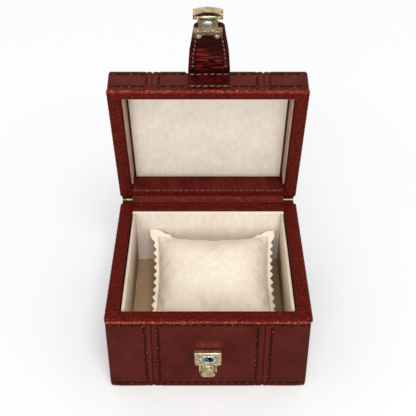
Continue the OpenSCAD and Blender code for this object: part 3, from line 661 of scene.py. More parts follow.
# Lid leather, wrapped over front, top and back in three parts
wrap = {"frontRows": (56.4, 65.0), "topRow": 46.6, "backRows": (57.6, 65.0), "backLow": 55.1, "patch": 11.3,
        "rows": {"Left": [-33.9], "Centre": [-27.0, 27.0], "Right": [33.9]}, "rowEnd": 3.4, "rowGap": 1.5,
        "frontPitch": 3.0, "frontLean": -20, "patchGap": 0.8, "sideRows": [57.0, 64.0]}


def wrapNormal(y, z):
    # The way out of the lid's leather, and how deep the point lies in it
    r = lid["edgeR"]
    cy, cz = clamp(y, -halfD + r, halfD - r), min(z, lid["top"] - r)
    if abs(y) < halfD - r:
        return Vector((0, 0, 1)), lid["top"] - z
    away = Vector((0, y - cy, max(z - cz, 0.0)))
    return away.normalized(), r - away.length


def lidLeather(part, low, high, rows):
    r, half, top = lid["edgeR"], halfD, lid["top"]
    front, upper, back = (0, -1, 0), (0, 0, 1), (0, 1, 0)
    sewn = [(-half, wrap["frontRows"][0], front), (-half, wrap["frontRows"][1], front), (-wrap["topRow"], top, upper),
            (wrap["topRow"], top, upper), (half, wrap["backRows"][1], back), (half, wrap["backRows"][0], back)]
    marks = [(y, z) for y, z, out in sewn]
    outer = [(-half, lid["core"])] + arc(-half + r, top - r, r, 180, 90) + arc(half - r, top - r, r, 90, 0)
    path = pressed(refine(outer + [(half, wrap["backLow"])], marks), marks)
    inner = [(half - 1, wrap["backLow"]), (half - 1, top - 1), (-half + 1, top - 1), (-half + 1, lid["core"])]
    stops = spaced(low, high, rows)
    if part == "Centre":  # closer beside the strap, where the swelling starts
        stops = [x for x in stops if not 10.5 < abs(x) < 13.5]
        stops += [side * x for x in (11.7, 12.1, 12.6) for side in (-1, 1)]
    else:
        stops += [math.copysign(halfW - r * (1 - math.sin(math.radians(a))), low + high)
                  for a in (15, 30, 44, 58, 70, 80)]
    piece = profileBar("lidLeather" + part, path + inner, sorted(stops))

    def rule(x, y, z):
        normal, deep = wrapNormal(y, z)
        if deep < 0.75:
            move = dip(x, rows) + edgeDip(x, low, high) * (abs(abs(x) - halfW) > 1) - wobble(x, y, z)
            y, z = y - normal.y * move, z - normal.z * move
        over = abs(x) - (halfW - r)
        if over > 0:
            z = min(z, top - r + math.sqrt(max(r * r - over * over, 0.0)) - (0.6 if deep > 0.75 else 0.0))
            side = abs(y) - (half - 1)
            if side > 0 and over > r - 1:
                y = math.copysign(half - 1 + side * math.sqrt(max(1 - (over - r + 1) ** 2, 0.04)), y)
        return x, y, z

    reshape(piece, rule)
    # Painted shade in the stitch channels and painted highlight on the raised lines by the grooves
    setMark(piece, "dark", lambda x, y, z: 0.75 * max([dip(x, rows, 1, 0.7)] + [
        bell(math.hypot(y - m[0], z - m[1]), 0.8) for m in marks]))
    setMark(piece, "ridge", lambda x, y, z: ridgeBy(x, low, high))
    reshape(piece, plump)
    smooth(piece, 50)
    dress(piece, "lid", "lidLeather", ["lid_leather_" + part.lower()], True)
    left = low + wrap["rowEnd"] if part == "Left" else rows[0]
    right = high - wrap["rowEnd"] if part == "Right" else rows[-1]
    past, gap = wrap["patch"] + wrap["patchGap"], wrap["rowGap"]
    for y, z, out in sewn:
        spans = [(left, -past), (past, right)] if part == "Centre" and y < 0 else [(left, right)]
        for start, end in spans:
            sew("lid", (start, y, z), (end, y, z), out)
    for row in rows:
        sew("lid", (row, -half, marks[0][1] + gap), (row, -half, marks[1][1] - gap), front, None,
            wrap["frontPitch"], wrap["frontLean"])
        sew("lid", (row, -wrap["topRow"] + gap, top), (row, wrap["topRow"] - gap, top), upper, None,
            stitch["upPitch"], stitch["upLean"])


for part, (low, high, rows) in frontParts.items():
    lidLeather(part, low, high, wrap["rows"][part])

for side in (-1, 1):
    half, r, word = halfW, lid["edgeR"], "right" if side > 0 else "left"
    marks = [(-half, z) for z in wrap["sideRows"]]
    outer = [(-half, lid["core"])] + arc(-half + r, lid["top"] - r, r, 180, 130, 4)
    path = pressed(refine(outer, marks), marks)
    path = [(y + 0.04, z - 0.03) for y, z in path]
    inner = [(path[-1][0] + 0.6, path[-1][1] - 0.4), (-half + 1, lid["top"] - r), (-half + 1, lid["core"])]
    reach = halfD - 1
    piece = profileBar("lidSideLeather" + word.title(), path + inner, spaced(-reach, reach))
    reshape(piece, lambda x, y, z: (x, y + (edgeDip(x, -reach, reach) - wobble(x, y, z)
                                            if y < -half + panels["skin"] and z < 64.9 else 0), z))
    # Painted shade in the stitch channels
    setMark(piece, "dark", lambda x, y, z: 0.7 * dip(z, wrap["sideRows"], 1, 0.7))
    smooth(piece, 50)
    piece.data.transform(turns[word])
    reshape(piece, plump)
    dress(piece, "lid", "lidLeather", ["lid_side_leather_" + word], True)
    for level in wrap["sideRows"]:
        sew("lid", (-reach + 3, -half, level), (reach - 3, -half, level), (0, -1, 0), turns[word])

# A thin dark glossy sheet on the lid's front under the strap, with stitch rows sewn across it: painted reflection and
# shadow of the strap
low, high, r, lift = -wrap["patch"] + 0.2, wrap["patch"] + 0.8, lid["edgeR"], 0.3
outer = [(-halfD - 0.1, lid["core"] + 0.3)]
outer += arc(-halfD + r, lid["top"] - r, r + lift, 180, 92, 8)
marks = [(-halfD - lift, z) for z in wrap["frontRows"]]
path = pressed(refine(outer, marks), marks, 0.3, 0.5)
under = arc(-halfD + r, lid["top"] - r, r - 0.5, 92, 180, 8) + [(-halfD + 0.5, lid["core"] + 0.3)]
piece = profileBar("strapRoot", path + under, spaced(low, high, step=1.2))
reshape(piece, lambda x, y, z: (x, y - wobble(x, y, z, 3.0, 0.12) - wobble(x, y, z, 1.0, 0.05), z))
smooth(piece, 50)
dress(piece, "lid", "patch", (), True)
for z in wrap["frontRows"]:
    sew("lidDusty", (low + 0.6, -halfD - lift, z), (high - 0.6, -halfD - lift, z), (0, -1, 0), None, 3.9, 9, 0)
print("lid leather sewn")

# Rims: leather binding, mitred in front, with a worn rolled edge
rim = {"width": 7.0, "crown": 0.13, "bead": 0.62, "scallop": 0.34, "pitch": 3.9, "endR": 1.6, "baseBack": 50.6,
       "lidBack": 48.9, "out": 0.3, "outRight": 0.75,
       "baseRoll": (-50.95, 50.95, 0.6, 0.95), "lidRoll": (-50.2, 52.96, 1.2, 0.3), "lowest": 52.76}


def rimProfile(sign, level, outer):
    # (across, height): from the inner lower edge over the crown to the rolled outer edge
    inner = outer - rim["width"]
    top = [(inner, 0.0), (inner, 0.62), (inner + 0.12, 0.88), (inner + 0.4, 1.0),
           (inner + 1.6, 1.0 + rim["crown"] * 0.8), (inner + 3.4, 1.0 + rim["crown"]),
           (outer - 1.5, 1.0 + rim["crown"] * 0.5), (outer - 1.05, 0.94)]
    roll = arc(outer - 0.5, 0.42, rim["bead"], 120, -120, 8)
    return [(across, level + sign * height) for across, height in top + roll]


def mitred(x, y):
    # 1 on the mitre between the front rim and a side rim
    return tent(abs(x) - halfW + y + halfD, 0.4)


def scallop(y):
    return abs(math.sin(math.pi * y / rim["pitch"]))


def frontRim(name, level, sign, body, node):
    profile = [(-a, z) for a, z in rimProfile(sign, level, halfD)]
    piece = profileBar(name, profile, evenly(-1, 1, 90))

    def rule(x, y, z):
        x *= halfW - max(0.0, y + halfD)
        outer = y < -halfD + 1.0
        ripple = noiseAt(x / 1.7, y / 3, level) * (0.16 if outer else 0.05) + wobble(x, y, z, 5.0)
        return x, y - (ripple if outer else 0), z + sign * (ripple if y < -halfD + 6.8 else 0)

    reshape(piece, rule)
    middle, reach = (0.9, 0.35) if sign > 0 else (0.1, 0.4)
    setMark(piece, "worn", lambda x, y, z: 0.7 * tent(y + halfD - middle, reach) + 0.6 * mitred(x, y))
    # Painted shade: a dark line just inside the lid's rolled edge, and along the rim's inner edge
    setMark(piece, "dark", lambda x, y, z: 0.6 * bell(y + halfD - 2.0, 0.3) * (sign < 0)
            + 0.5 * tent(y + halfD - rim["width"], 0.7))
    smooth(piece, 60)
    dress(piece, body, "rim", [node], sign < 0)

    # The rolled edge in front, rough and rubbed, with a painted highlight in its lightest tone
    y0, z0, ry, rz = rim[body + "Roll"]
    oval = [(y0 + ry * y, z0 + rz * z) for y, z in arc(0, 0, 1, 0, 330, 11)]
    roll = profileBar(name + "Roll", oval, spaced(-halfW + 0.3, halfW - 0.3, step=0.8))

    def rough(x, y, z):
        swell = 1 + 0.35 * noiseAt(x / 2.2, 1.0, level) + 0.25 * noiseAt(x / 0.9, z / 2, level)
        swell *= min(1.0, 0.3 + (halfW - abs(x)) / 1.6)
        z = z0 + (z - z0) * swell + sign * 0.14 * noiseAt(x / 3.1, 7.0, level)
        return x, y0 + (y - y0) * swell, max(z, rim["lowest"]) if sign < 0 else z

    reshape(roll, rough)
    smooth(roll, 70)
    dress(roll, body, "cord", (), sign < 0)


def sideRim(name, side, level, sign, back, body, node):
    piece = profileBar(name, rimProfile(sign, level, halfW), evenly(-1, 1, 130))

    def rule(x, across, z):
        front = -halfD + max(0.0, halfW - across)
        y = front + (back - front) * (x + 1) / 2
        near = y - (back - rim["endR"])
        if near > 0:
            middle = halfW - rim["width"] / 2
            squeeze = rim["width"] / 2 - rim["endR"] + math.sqrt(max(rim["endR"] ** 2 - near ** 2, 0.0))
            across = middle + (across - middle) * squeeze / (rim["width"] / 2)
        share = clamp((across - halfW + 1.6) / 1.4)
        wave = scallop(y)
        across += share * (rim["scallop"] * (wave - 0.7) + (rim["outRight"] if side > 0 and sign > 0 else rim["out"]))
        ripple = noiseAt(across / 3, y / 2.2, level) * 0.06
        return side * across, y, z + sign * (ripple + share * 0.12 * (wave - 0.8))

    reshape(piece, rule)
    outwards(piece)
    setMark(piece, "worn", lambda x, y, z: 0.75 * tent(abs(x) - halfW - 0.2, 0.7) + 0.6 * mitred(x, y)
            + 0.5 * tent(abs(x) - halfW + rim["width"] - 0.2, 0.35))
    # Painted shade at the outer edge where the whip stitches pull it in, and along the inner edge
    setMark(piece, "dark", lambda x, y, z: 0.9 * max(0.0, abs(x) - halfW + 1.0) * (1 - scallop(y)) ** 2
            + 0.5 * bell(abs(x) - halfW + rim["width"] - 0.8, 0.25))
    smooth(piece, 60)
    dress(piece, body, "rim", [node], sign < 0)


bothRims = (("base", case["baseTop"], 1), ("lid", lid["core"], -1))
for body, level, sign in bothRims:
    frontRim(body + "RimFront", level, sign, body, body + "_rim_front")
for side, word in ((-1, "Left"), (1, "Right")):
    for body, level, sign in bothRims:
        sideRim(body + "Rim" + word, side, level, sign, rim[body + "Back"], body, body + "_rim_" + word.lower())

# Thread whipped round the rims' outer edges
whip = {"r": 1.2, "arc": 150.0, "width": 0.75, "slant": 0.5, "flat": 0.66, "thin": 0.8, "in": 1.1}
oneWhip = added(bpy.ops.mesh.primitive_cylinder_add, vertices=6, radius=whip["width"] / 2 * mm, depth=2 * mm,
                end_fill_type="TRIFAN")
with editing(oneWhip):
    for height in evenly(-1, 1, 8)[1:-1]:
        bpy.ops.mesh.select_all(action="SELECT")
        bpy.ops.mesh.bisect(plane_co=(0, 0, height * mm), plane_no=(0, 0, 1))


def bendWhip(x, y, z):
    angle = math.radians(15 + z * whip["arc"] / 2)
    reach = whip["r"] + x * whip["thin"]
    return (reach * math.cos(angle), y + z * whip["slant"],
            reach * math.sin(angle) * (whip["flat"] if angle > 0 else 1.0))


reshape(oneWhip, bendWhip)
outwards(oneWhip)
for side in (-1, 1):
    for body, level, sign in bothRims:
        y = math.ceil(-halfD / rim["pitch"] + 0.4) * rim["pitch"]
        out = halfW - whip["in"] + (rim["outRight"] if side > 0 and sign > 0 else rim["out"])
        while y < rim[body + "Back"] - 2:
            place = Matrix(((side, 0, 0, side * out * mm), (0, 1, 0, y * mm),
                            (0, 0, sign, (level + sign * 0.1) * mm), (0, 0, 0, 1)))
            threads.setdefault(body + "Whip", []).append(copyOf(oneWhip, place))
            y += rim["pitch"]
print("rims bound")

# Lining boards covered in suede, made closed where the node is in the lid
inX, inY = halfW - case["wall"] - 0.3, halfD - case["wall"] - 0.3
lining = {"edge": 0.7, "lidEdge": 0.35, "boards": {
    "lining_front": ("suede", (-inX, -inY, 12.05), (inX, -inY + 2, 49.8)),
    "lining_back": ("suede", (-inX, inY - 2, 12.05), (inX, inY, 51.3)),
    "lining_left": ("side", (-inX + 0.5, -inY + 2.05, 12.05), (-inX + 2.4, inY - 2.05, 51.1)),
    "lining_right": ("side", (inX - 2.4, -inY + 2.05, 12.05), (inX - 0.5, inY - 2.05, 51.1)),
    "floor_pad": ("floor", (-inX + 0.1, -inY + 0.1, 7.1), (inX - 0.1, inY - 0.1, 12.0)),
    "lid_lining_left": ("lidEdge", (-inX, -inY, 54.14), (-inX + 1.2, 36.4, 63.9)),
    "lid_lining_right": ("lidEdge", (inX - 1.2, -inY, 54.14), (inX, 36.4, 63.9)),
    "lid_lining_front": ("lidEdge", (-inX + 1.5, -inY, 54.14), (inX - 1.5, -inY + 1.2, 63.9)),
}}


def camelName(node):
    first, *others = node.split("_")
    return first + "".join(word.title() for word in others)


for node, (look, low, high) in lining["boards"].items():
    inLid = node.startswith("lid_")
    piece = block(camelName(node), low, high)
    softenEdges(piece, lining["lidEdge" if inLid else "edge"], 4)
    smooth(piece, 40)
    dress(piece, "lid" if inLid else "base", look, [node], inLid)
    node == "floor_pad"

# The padded panel in the lid
lidPad = {"x": 45.3, "front": -42.4, "back": 40.8, "face": 62.7, "top": 63.94, "cuts": 38, "crown": 0.5, "reach": 4.0}
piece = block("lidPanel", (-lidPad["x"], lidPad["front"], lidPad["face"]),
              (lidPad["x"], lidPad["back"], lidPad["top"]), lidPad["cuts"])


def padRule(x, y, z):
    across = min(lidPad["x"] - abs(x), y - lidPad["front"], lidPad["back"] - y)
    if z < lidPad["face"] + 0.6:
        puff = lidPad["crown"] * (1 - math.exp(-across / lidPad["reach"]))
        z -= puff - 0.5 * max(0.0, 1 - across / 0.8) ** 2 + noiseAt(x, y, 0, 18) * 0.12
    return x, y, z


reshape(piece, padRule)
smooth(piece, 40)
dress(piece, "lid", "suede", ["lid_panel"], True)
print("lining in")

# Leather strip over the hinge and the leather board behind it
strip = {"halfX": 47.8, "thick": 1.0, "lidPath": [(2.9, 0.62), (5.0, 0.5), (9.7, 0.5)],
         "path": [(43.7, 52.0), (46.0, 52.03), (48.0, 52.1), (48.75, 52.75), (48.95, 54.0), (49.85, 55.9)]}


def lidPoint(a, b):
    # A point in the open lid, from its back edge inwards and up
    point = openLid @ (Vector((0, halfD - a, lid["low"] + b)) * mm)
    return point.y / mm, point.z / mm


def smoothPath(points, steps=6):
    # A curve through all the points
    points = [Vector(point) for point in points]
    result = []
    for p0, p1, p2, p3 in zip(points[:1] + points, points, points[1:], points[2:] + points[-1:]):
        for t in evenly(0, 1, steps)[:-1]:
            result.append(0.5 * ((2 * p1) + (p2 - p0) * t + (2 * p0 - 5 * p1 + 4 * p2 - p3) * t * t
                                 + (3 * p1 - p0 - 3 * p2 + p3) * t ** 3))
    return result + points[-1:]


def ribbon(path, thick):
    # The two sides of a strip round its middle line
    front, rear = [], []
    for i, point in enumerate(path):
        along = (path[min(i + 1, len(path) - 1)] - path[max(i - 1, 0)]).normalized()
        side = Vector((-along.y, along.x)) * thick / 2
        front.append(tuple(point + side))
        rear.append(tuple(point - side))
    return front + rear[::-1]


middle = smoothPath(strip["path"] + [lidPoint(a, b) for a, b in strip["lidPath"]])
piece = profileBar("hingeStrip", ribbon(middle, strip["thick"]), spaced(-strip["halfX"], strip["halfX"], step=0.8))
reshape(piece, lambda x, y, z: (
    x, y + wobble(x, y, z, 4.0, 0.07) + wobble(x, y, z, 1.0, 0.22) * ramped(z, 52.6, 54.5),
    z + wobble(x, y + 50, z, 4.0, 0.07)))
softenEdges(piece, 0.2, 2, 50)
# Painted shade in the valley over the hinge line
setMark(piece, "dark", lambda x, y, z: 0.6 * bell(math.hypot(y - 48.6, z - 53.4), 0.9))
setMark(piece, "worn", lambda x, y, z: 0.3 * tent(y - 43.6, 0.5))
smooth(piece, 60)
dress(piece, None, "hinge", ["hinge_gusset"])
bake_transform(piece)


def twoSides(name, low, high):
    # The same block on the right and on the left
    return [block(name, (min(side * low[0], side * high[0]), *low[1:]), (max(side * low[0], side * high[0]), *high[1:]))
            for side in (-1, 1)]


backBoard = {"low": (-47.7, 41.2, lid["core"]), "high": (47.7, 43.7, 63.94),
             "returnLow": (46.5, 36.6, 54.1), "returnHigh": (47.7, 41.5, 63.9)}
boards = [block("lidBackBoard", backBoard["low"], backBoard["high"])]
boards += twoSides("return", backBoard["returnLow"], backBoard["returnHigh"])
for board in boards:
    softenEdges(board, 0.5, 4)
piece = joinAll("lidBackBoard", boards)
smooth(piece, 40)
dress(piece, "lid", "inner", ["lid_back_lining"], True)
sew("lidDusty", (-46.5, 41.9, 52.9), (46.5, 41.9, 52.9), (0, 0, -1), None, 3.4, 4, 0)

# Dark blocks at the rims' ends beside the hinge, in the darkest leather: painted shade for the dark corners there
for body, low, high in (("base", (47.9, 50.2, 51.0), (54.4, 51.7, 52.9)),
                        ("lid", (47.9, 48.8, 53.3), (54.4, 51.5, 55.0))):
    piece = joinAll(body + "HingeEnds", twoSides(body + "HingeEnds", low, high))
    softenEdges(piece, 0.3, 3)
    smooth(piece, 40)
    dress(piece, body, "patch", (), body == "lid")
print("hinge strip and lid back in")

# Strap, one sewn strip from the lid's top to the clasp
strap = {"from": -32.3, "to": 33.6, "low": 0.06, "top": 2.38, "rowIn": 2.3, "endR": 1.8, "rootR": 4.0, "crease": 0.75,
         "right": -0.6, "widths": ((-33, 11.5), (0, 11.5), (14, 10.6), (28.6, 8.45), (34, 7.8)),
         "bend": (-5.2, 1.0), "rows": ((1.6, 14.0), (14.0, 26.4)), "pitch": 2.9}


def strapRidge(u, x):
    # The inner face creases across where the strap folds
    strength = clamp((19 - u) / 5) * clamp(u / 1.5)
    return max(noiseAt(x / 9, u / 0.95, 2.0) + 0.5 * noiseAt(x / 3.2, u / 0.55, 5.0), -0.6) * strength


def strapHalf(u):
    for (u0, w0), (u1, w1) in zip(strap["widths"], strap["widths"][1:]):
        if u <= u1:
            width = w0 + (w1 - w0) * (u - u0) / (u1 - u0)
            break
    over = max(u - (strap["to"] - strap["endR"]), strap["from"] + strap["rootR"] - u)
    r = strap["endR"] if u > 0 else strap["rootR"]
    if over > 0:
        width = width - r + math.sqrt(max(r * r - over * over, 0.05))
    return width


# A plain bar from -1 to 1, which the rule then gives its width, thickness and creases
across = [-1, -0.97, -0.92, *evenly(-0.86, 0.86, 30), 0.92, 0.97, 1]
section = [(s, -1.0) for s in across] + [(1.0, 0.0)] + [(s, 1.0) for s in reversed(across)] + [(-1.0, 0.0)]
piece = profileBar("strap", section, spaced(strap["from"], 0.0, step=1.2) + spaced(0.0, strap["to"], step=0.55)[1:])


def strapRule(u, s, t):
    half = strapHalf(u)
    x = s * half
    edge = 1 - max(0.0, (abs(s) - 0.9) / 0.1) ** 2 * 0.45
    middle = (strap["low"] + strap["top"]) / 2
    h = middle + t * (strap["top"] - strap["low"]) / 2 * edge
    row = 0.25 * bell(half - abs(x) - strap["rowIn"], 0.55)
    h -= math.copysign(row, t) if abs(t) > 0.5 else 0
    if t < -0.5:
        h += strapRidge(u, x) * strap["crease"]
    if t > 0.5:
        h += noiseAt(x / 5, u / 5, 8.0) * 0.06
    return u, -x - strap["right"], h


def fromEdge(u, y):
    return strapHalf(u) - abs(y + strap["right"])


def inner(u, y, h):
    return strapRidge(u, -y - strap["right"]) if h < 1.0 else 0.0


reshape(piece, strapRule)
outwards(piece)
# Painted shade in the stitch rows and crease valleys, a darker band on the inner face from u 16 to 27, and painted
# highlight on the crease crests
setMark(piece, "dark", lambda u, y, h: 0.6 * bell(fromEdge(u, y) - strap["rowIn"], 0.6)
        + (0.5 * ramped(u, 16, 18) * ramped(-u, -27, -25) if h < 0.4 else 0.0) + 1.6 * max(0.0, inner(u, y, h)))
setMark(piece, "worn", lambda u, y, h: 0.4 * max(0, 1 - fromEdge(u, y) / 0.7))
setMark(piece, "ridge", lambda u, y, h: 1.5 * max(0.0, -inner(u, y, h) - 0.08))
smooth(piece, 60)
piece.data.transform(strapFrame)
dress(piece, None, "strap", ["strap", "strap_anchor"])
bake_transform(piece)
for side in (-1, 1):
    for u0, u1 in strap["rows"]:
        for h, up, group in ((strap["low"], -1, "strapDusty"), (strap["top"], 1, "strap")):
            start, end = [(u, side * (strapHalf(u) - strap["rowIn"]) - strap["right"], h) for u in (u0, u1)]
            sew(group, start, end, (0, 0, up), strapFrame, strap["pitch"], 10, 0)
    y = side * (strapHalf(0) - strap["rowIn"]) - strap["right"]
    sew("strapAnchor", (-29.5, y, strap["top"]), (-6.0, y, strap["top"]), (0, 0, 1), strapFrame, strap["pitch"])
sew("strapAnchor", (-29.8, -6.9, strap["top"]), (-29.8, 8.1, strap["top"]), (0, 0, 1), strapFrame, strap["pitch"])
print("strap sewn")

for groups, look, slot in ((threads, None, "leather"), (puckers, "pucker", "leather_rim")):
    for group, copies in groups.items():
        piece = joinAll(group + ("Puckers" if look else "Thread"), copies)
        smooth(piece, 60)
        if group == "lid":
            reshape(piece, plump)
        inLid = group.startswith("lid")
        body = "lid" if inLid or group == "strapAnchor" else "strap" if group.startswith("strap") else "base"
        dress(piece, body, look or ("dusty" if group.endswith("Dusty") else "thread"), (), inLid)
for master in (oneStitch, onePucker, oneWhip):
    bpy.data.objects.remove(master)
print("thread laid")


# Metal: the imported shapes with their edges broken
metal = {"angle": 32, "inset": 0.03, "lit": (-0.35, -0.3, 0.88), "edges": {
    "lock_housing": 0.12, "lock_slide": 0.12, "lock_socket": 0.18, "hasp_plate": 0.08, "hasp_stud": 0.15,
    "hasp_hood": 0.14}}
for node, width in metal["edges"].items():
    source = frame["nodes"][node]
    piece = copyOf(source, Matrix())
    piece.name = piece.data.name = camelName(node)
    for key in list(piece.keys()):
        if key.startswith("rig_"):
            del piece[key]
    piece.parent = None
    with editing(piece):
        bpy.ops.mesh.remove_doubles(threshold=0.01 * mm)
        bpy.ops.mesh.dissolve_limited(angle_limit=math.radians(2))
        bpy.ops.transform.shrink_fatten(value=-metal["inset"] * mm)
    softenEdges(piece, width, 2, metal["angle"])
    # Painted shade: each face darker the more it turns away from the light
    faceShade = piece.data.attributes.new("dark", "FLOAT", "FACE")
    faceShade.data.foreach_set("value", [clamp(0.42 - 0.75 * face.normal.dot(Vector(metal["lit"])))
                                       for face in piece.data.polygons])
    smooth(piece, 40)
    steel = node in ("lock_socket", "hasp_stud")
    dress(piece, source["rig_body"], "steel" if steel else "gold", [node])

# Small relief on the metal: rim round the stud, dots on the band, pad and edges on the lock
relief = {"ringX": 3.1, "ringY": 5.3, "thick": 3.0, "ringU": 36.7, "ringH": -0.38, "dotU": 30.2, "dotH": -1.15,
          "dots": ((-5.2, 0.7), (-3.3, 0.5), (-1.6, 0.8), (0.6, 0.6), (2.4, 0.9), (4.6, 0.6), (6.1, 0.5))}
ring = added(bpy.ops.mesh.primitive_torus_add, "haspStudRing", major_segments=40, minor_segments=8, major_radius=mm,
             minor_radius=0.1 * mm)


def ovalRing(x, y, z):
    away = Vector((x, y)).length
    thick = (away - 1) * relief["thick"]
    return (x / away * (relief["ringX"] + thick) + relief["ringU"], y / away * (relief["ringY"] + thick),
            z * relief["thick"] + relief["ringH"])


reshape(ring, ovalRing)
smooth(ring, 60)
ring.data.transform(strapFrame)
dress(ring, "strap", "gold")

dots = []
for across, size in relief["dots"]:
    dot = added(bpy.ops.mesh.primitive_uv_sphere_add, segments=14, ring_count=8, radius=mm)
    reshape(dot, lambda x, y, z: (relief["dotU"] + (size - 0.7) + x * size * 1.3, across + y * size,
                                  relief["dotH"] + z * 0.25))
    dots.append(dot)
dots = joinAll("haspBandDots", dots)
smooth(dots, 60)
dots.data.transform(strapFrame)
dress(dots, "strap", "gold")

lockParts = {"lockLip": ("base", (-6.6, -54.66, 28.5), (6.6, -54.4, 28.9), 0.1),
             "lockPad": ("lock_slide", (-1.9, -54.95, 17.6), (1.9, -54.6, 20.8), 0.17),
             "lockPadRightEdge": ("lock_slide", (2.5, -54.95, 16.4), (3.1, -54.6, 22.4), 0.15),
             "lockPadLeftEdge": ("lock_slide", (-3.1, -54.95, 16.4), (-2.5, -54.6, 22.4), 0.15)}
for name, (body, low, high, width) in lockParts.items():
    piece = block(name, low, high)
    softenEdges(piece, width, 3)
    smooth(piece, 40)
    dress(piece, body, "gold")

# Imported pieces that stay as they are, with their looks
kept = {"lock_back_plate": "gold", "lock_rivets": "gold", "lock_spring": "steel", "hasp_rivets": "gold",
        "hasp_pin": "steel", "hinge_": "brass", "bottom_cover": "bottom"}
for node, part in frame["nodes"].items():
    look = "wood" if node.endswith("_board") else None
    for start, finish in kept.items():
        if node.startswith(start) and node != "hinge_gusset":
            look = finish
    if look:
        part.data.materials.clear()
        part.data.materials.append(looks[look])
print("metal finished")

# Pillow
pillow = {"x": 3.3, "y": 8.55, "z": 26.45, "tilt": 20.6, "halfW": 35.3, "halfL": 30.0, "pull": 1.8, "endPull": 4.6,
          "crown": 15.5, "floor": 12.3, "nx": 42, "ny": 36, "grow": 10.0, "pressure": 5.0, "cap": 7.0,
          "seam": 0.32, "steps": 20, "round": 2.8}


def seamPoint(u, v):
    return (u * (pillow["halfW"] - pillow["pull"] * (1 - v * v)),
            v * (pillow["halfL"] - pillow["endPull"] / 2 * (1 - u * u) * (1 + v)))


cover = added(bpy.ops.mesh.primitive_grid_add, "pillowCover", x_subdivisions=pillow["nx"],
              y_subdivisions=pillow["ny"], size=2 * mm)
shell = cover.modifiers.new("two sides", "SOLIDIFY")
shell.thickness, shell.offset = 2 * mm, 0
applyAll(cover)


def crown(u, v, side):
    x, y = seamPoint(u, v)
    rise = max(1 - abs(u) ** pillow["round"], 0.0) ** 0.6 * max(1 - abs(v) ** pillow["round"], 0.0) ** 0.6
    return x, y, math.copysign(pillow["crown"] * rise + 0.25, side)


reshape(cover, crown)
outwards(cover)
before = [v.co.copy() for v in cover.data.vertices]

cover.data.transform(Matrix.Scale(pillow["grow"], 4))
pins = cover.vertex_groups.new(name="seam")
edgeNear = [v.index for v in cover.data.vertices if abs(v.co.z) < pillow["seam"] * pillow["grow"] * mm]
pins.add(edgeNear, 1.0, "ADD")
cloth = cover.modifiers.new("cloth", "CLOTH")
fabric = cloth.settings
fabric.quality, fabric.mass = 6, 0.3
fabric.vertex_group_mass = "seam"
fabric.use_pressure, fabric.uniform_pressure_force = True, pillow["pressure"]
fabric.effector_weights.gravity = 0
fabric.tension_stiffness = fabric.compression_stiffness = 15
fabric.bending_stiffness = 0.6
fabric.shrink_min = -0.05
cloth.point_cache.frame_end = pillow["steps"] + 4
for step in range(1, pillow["steps"] + 1):
    bpy.context.scene.frame_set(step)
applyAll(cover)
bpy.context.scene.frame_set(1)
cover.data.transform(Matrix.Scale(1 / pillow["grow"], 4))
for vertex, start in zip(cover.data.vertices, before):
    move = vertex.co - start
    if move.length > pillow["cap"] * mm:
        vertex.co = start + move.normalized() * pillow["cap"] * mm
cover.vertex_groups.clear()
print("pillow filled")

softer = cover.modifiers.new("softer", "SUBSURF")
softer.levels = softer.render_levels = 1
applyAll(cover)
pillowPlace = (Matrix.Translation(Vector((pillow["x"], pillow["y"], pillow["z"])) * mm)
               @ Matrix.Rotation(math.radians(pillow["tilt"]), 4, "X"))
cover.data.transform(pillowPlace)


def restOnFloor(x, y, z):
    above = z - pillow["floor"]
    return x, y, z if above > 1.2 else pillow["floor"] + max(0.0, above + 1.2) / 2


reshape(cover, restOnFloor)
outwards(cover)
smooth(cover, 80)

# The pinked edge: teeth all round, with plain rounded corners
pinked = {"width": 3.0, "notch": 1.1, "pitch": 4.9, "corner": 1.4, "leftEar": 2.4, "rightEar": 0.6, "round": 6.0,
          "inside": 0.6, "thick": 0.75, "wave": 1.0, "droop": 52.0}


def edgeLoop():
    inner, outer = [], []
    half = (pinked["notch"] + pinked["width"]) / 2
    tooth = (pinked["notch"], half, pinked["width"], half)
    for a, b, out in (((-1, -1), (1, -1), (0, -1)), ((1, -1), (1, 1), (1, 0)),
                      ((1, 1), (-1, 1), (0, 1)), ((-1, 1), (-1, -1), (-1, 0))):
        length = 2 * (pillow["halfW"] if out[0] == 0 else pillow["halfL"])
        steps = 4 * round(length / pinked["pitch"])
        for i in range(steps):
            t = i / steps
            x, y = seamPoint(a[0] + (b[0] - a[0]) * t, a[1] + (b[1] - a[1]) * t)
            near = min(t, 1 - t) * length
            blend = clamp(near / pinked["round"])
            u, v = a if t < 0.5 else b
            ear = 0 if v < 0 else pinked["leftEar" if u < 0 else "rightEar"]
            reach = tooth[i % 4] * blend + (pinked["width"] + pinked["corner"] + ear) * (1 - blend)
            direction = Vector(out).lerp(Vector((u, v)).normalized(), (1 - blend) * 0.9).normalized()
            inner.append((x - direction.x * pinked["inside"], y - direction.y * pinked["inside"]))
            outer.append((x + direction.x * reach, y + direction.y * reach))
    return inner, outer


innerLoop, outerLoop = edgeLoop()
edge = added(bpy.ops.mesh.primitive_circle_add, "pillowPinkedEdge", vertices=len(innerLoop), radius=mm,
             fill_type="NOTHING")
for vertex, (x, y) in zip(edge.data.vertices, innerLoop):
    vertex.co = Vector((x, y, 0)) * mm
with editing(edge):
    bpy.ops.mesh.extrude_edges_move()
count = len(innerLoop)
for i, (x, y) in enumerate(outerLoop):
    lift = noiseAt(x, y, 3, 7) * pinked["wave"]
    out = y - innerLoop[i][1]
    fall = math.radians(pinked["droop"]) * ramped(y, 20, 27) * ramped(pillow["halfW"] - 4 - abs(x), 0, 8)
    if out > 0 and fall > 0:
        y, lift = innerLoop[i][1] + out * math.cos(fall), lift - out * math.sin(fall)
    edge.data.vertices[count + i].co = Vector((x, y, lift)) * mm
with editing(edge):
    bpy.ops.mesh.subdivide(number_cuts=1)
    bpy.ops.mesh.normals_make_consistent(inside=False)
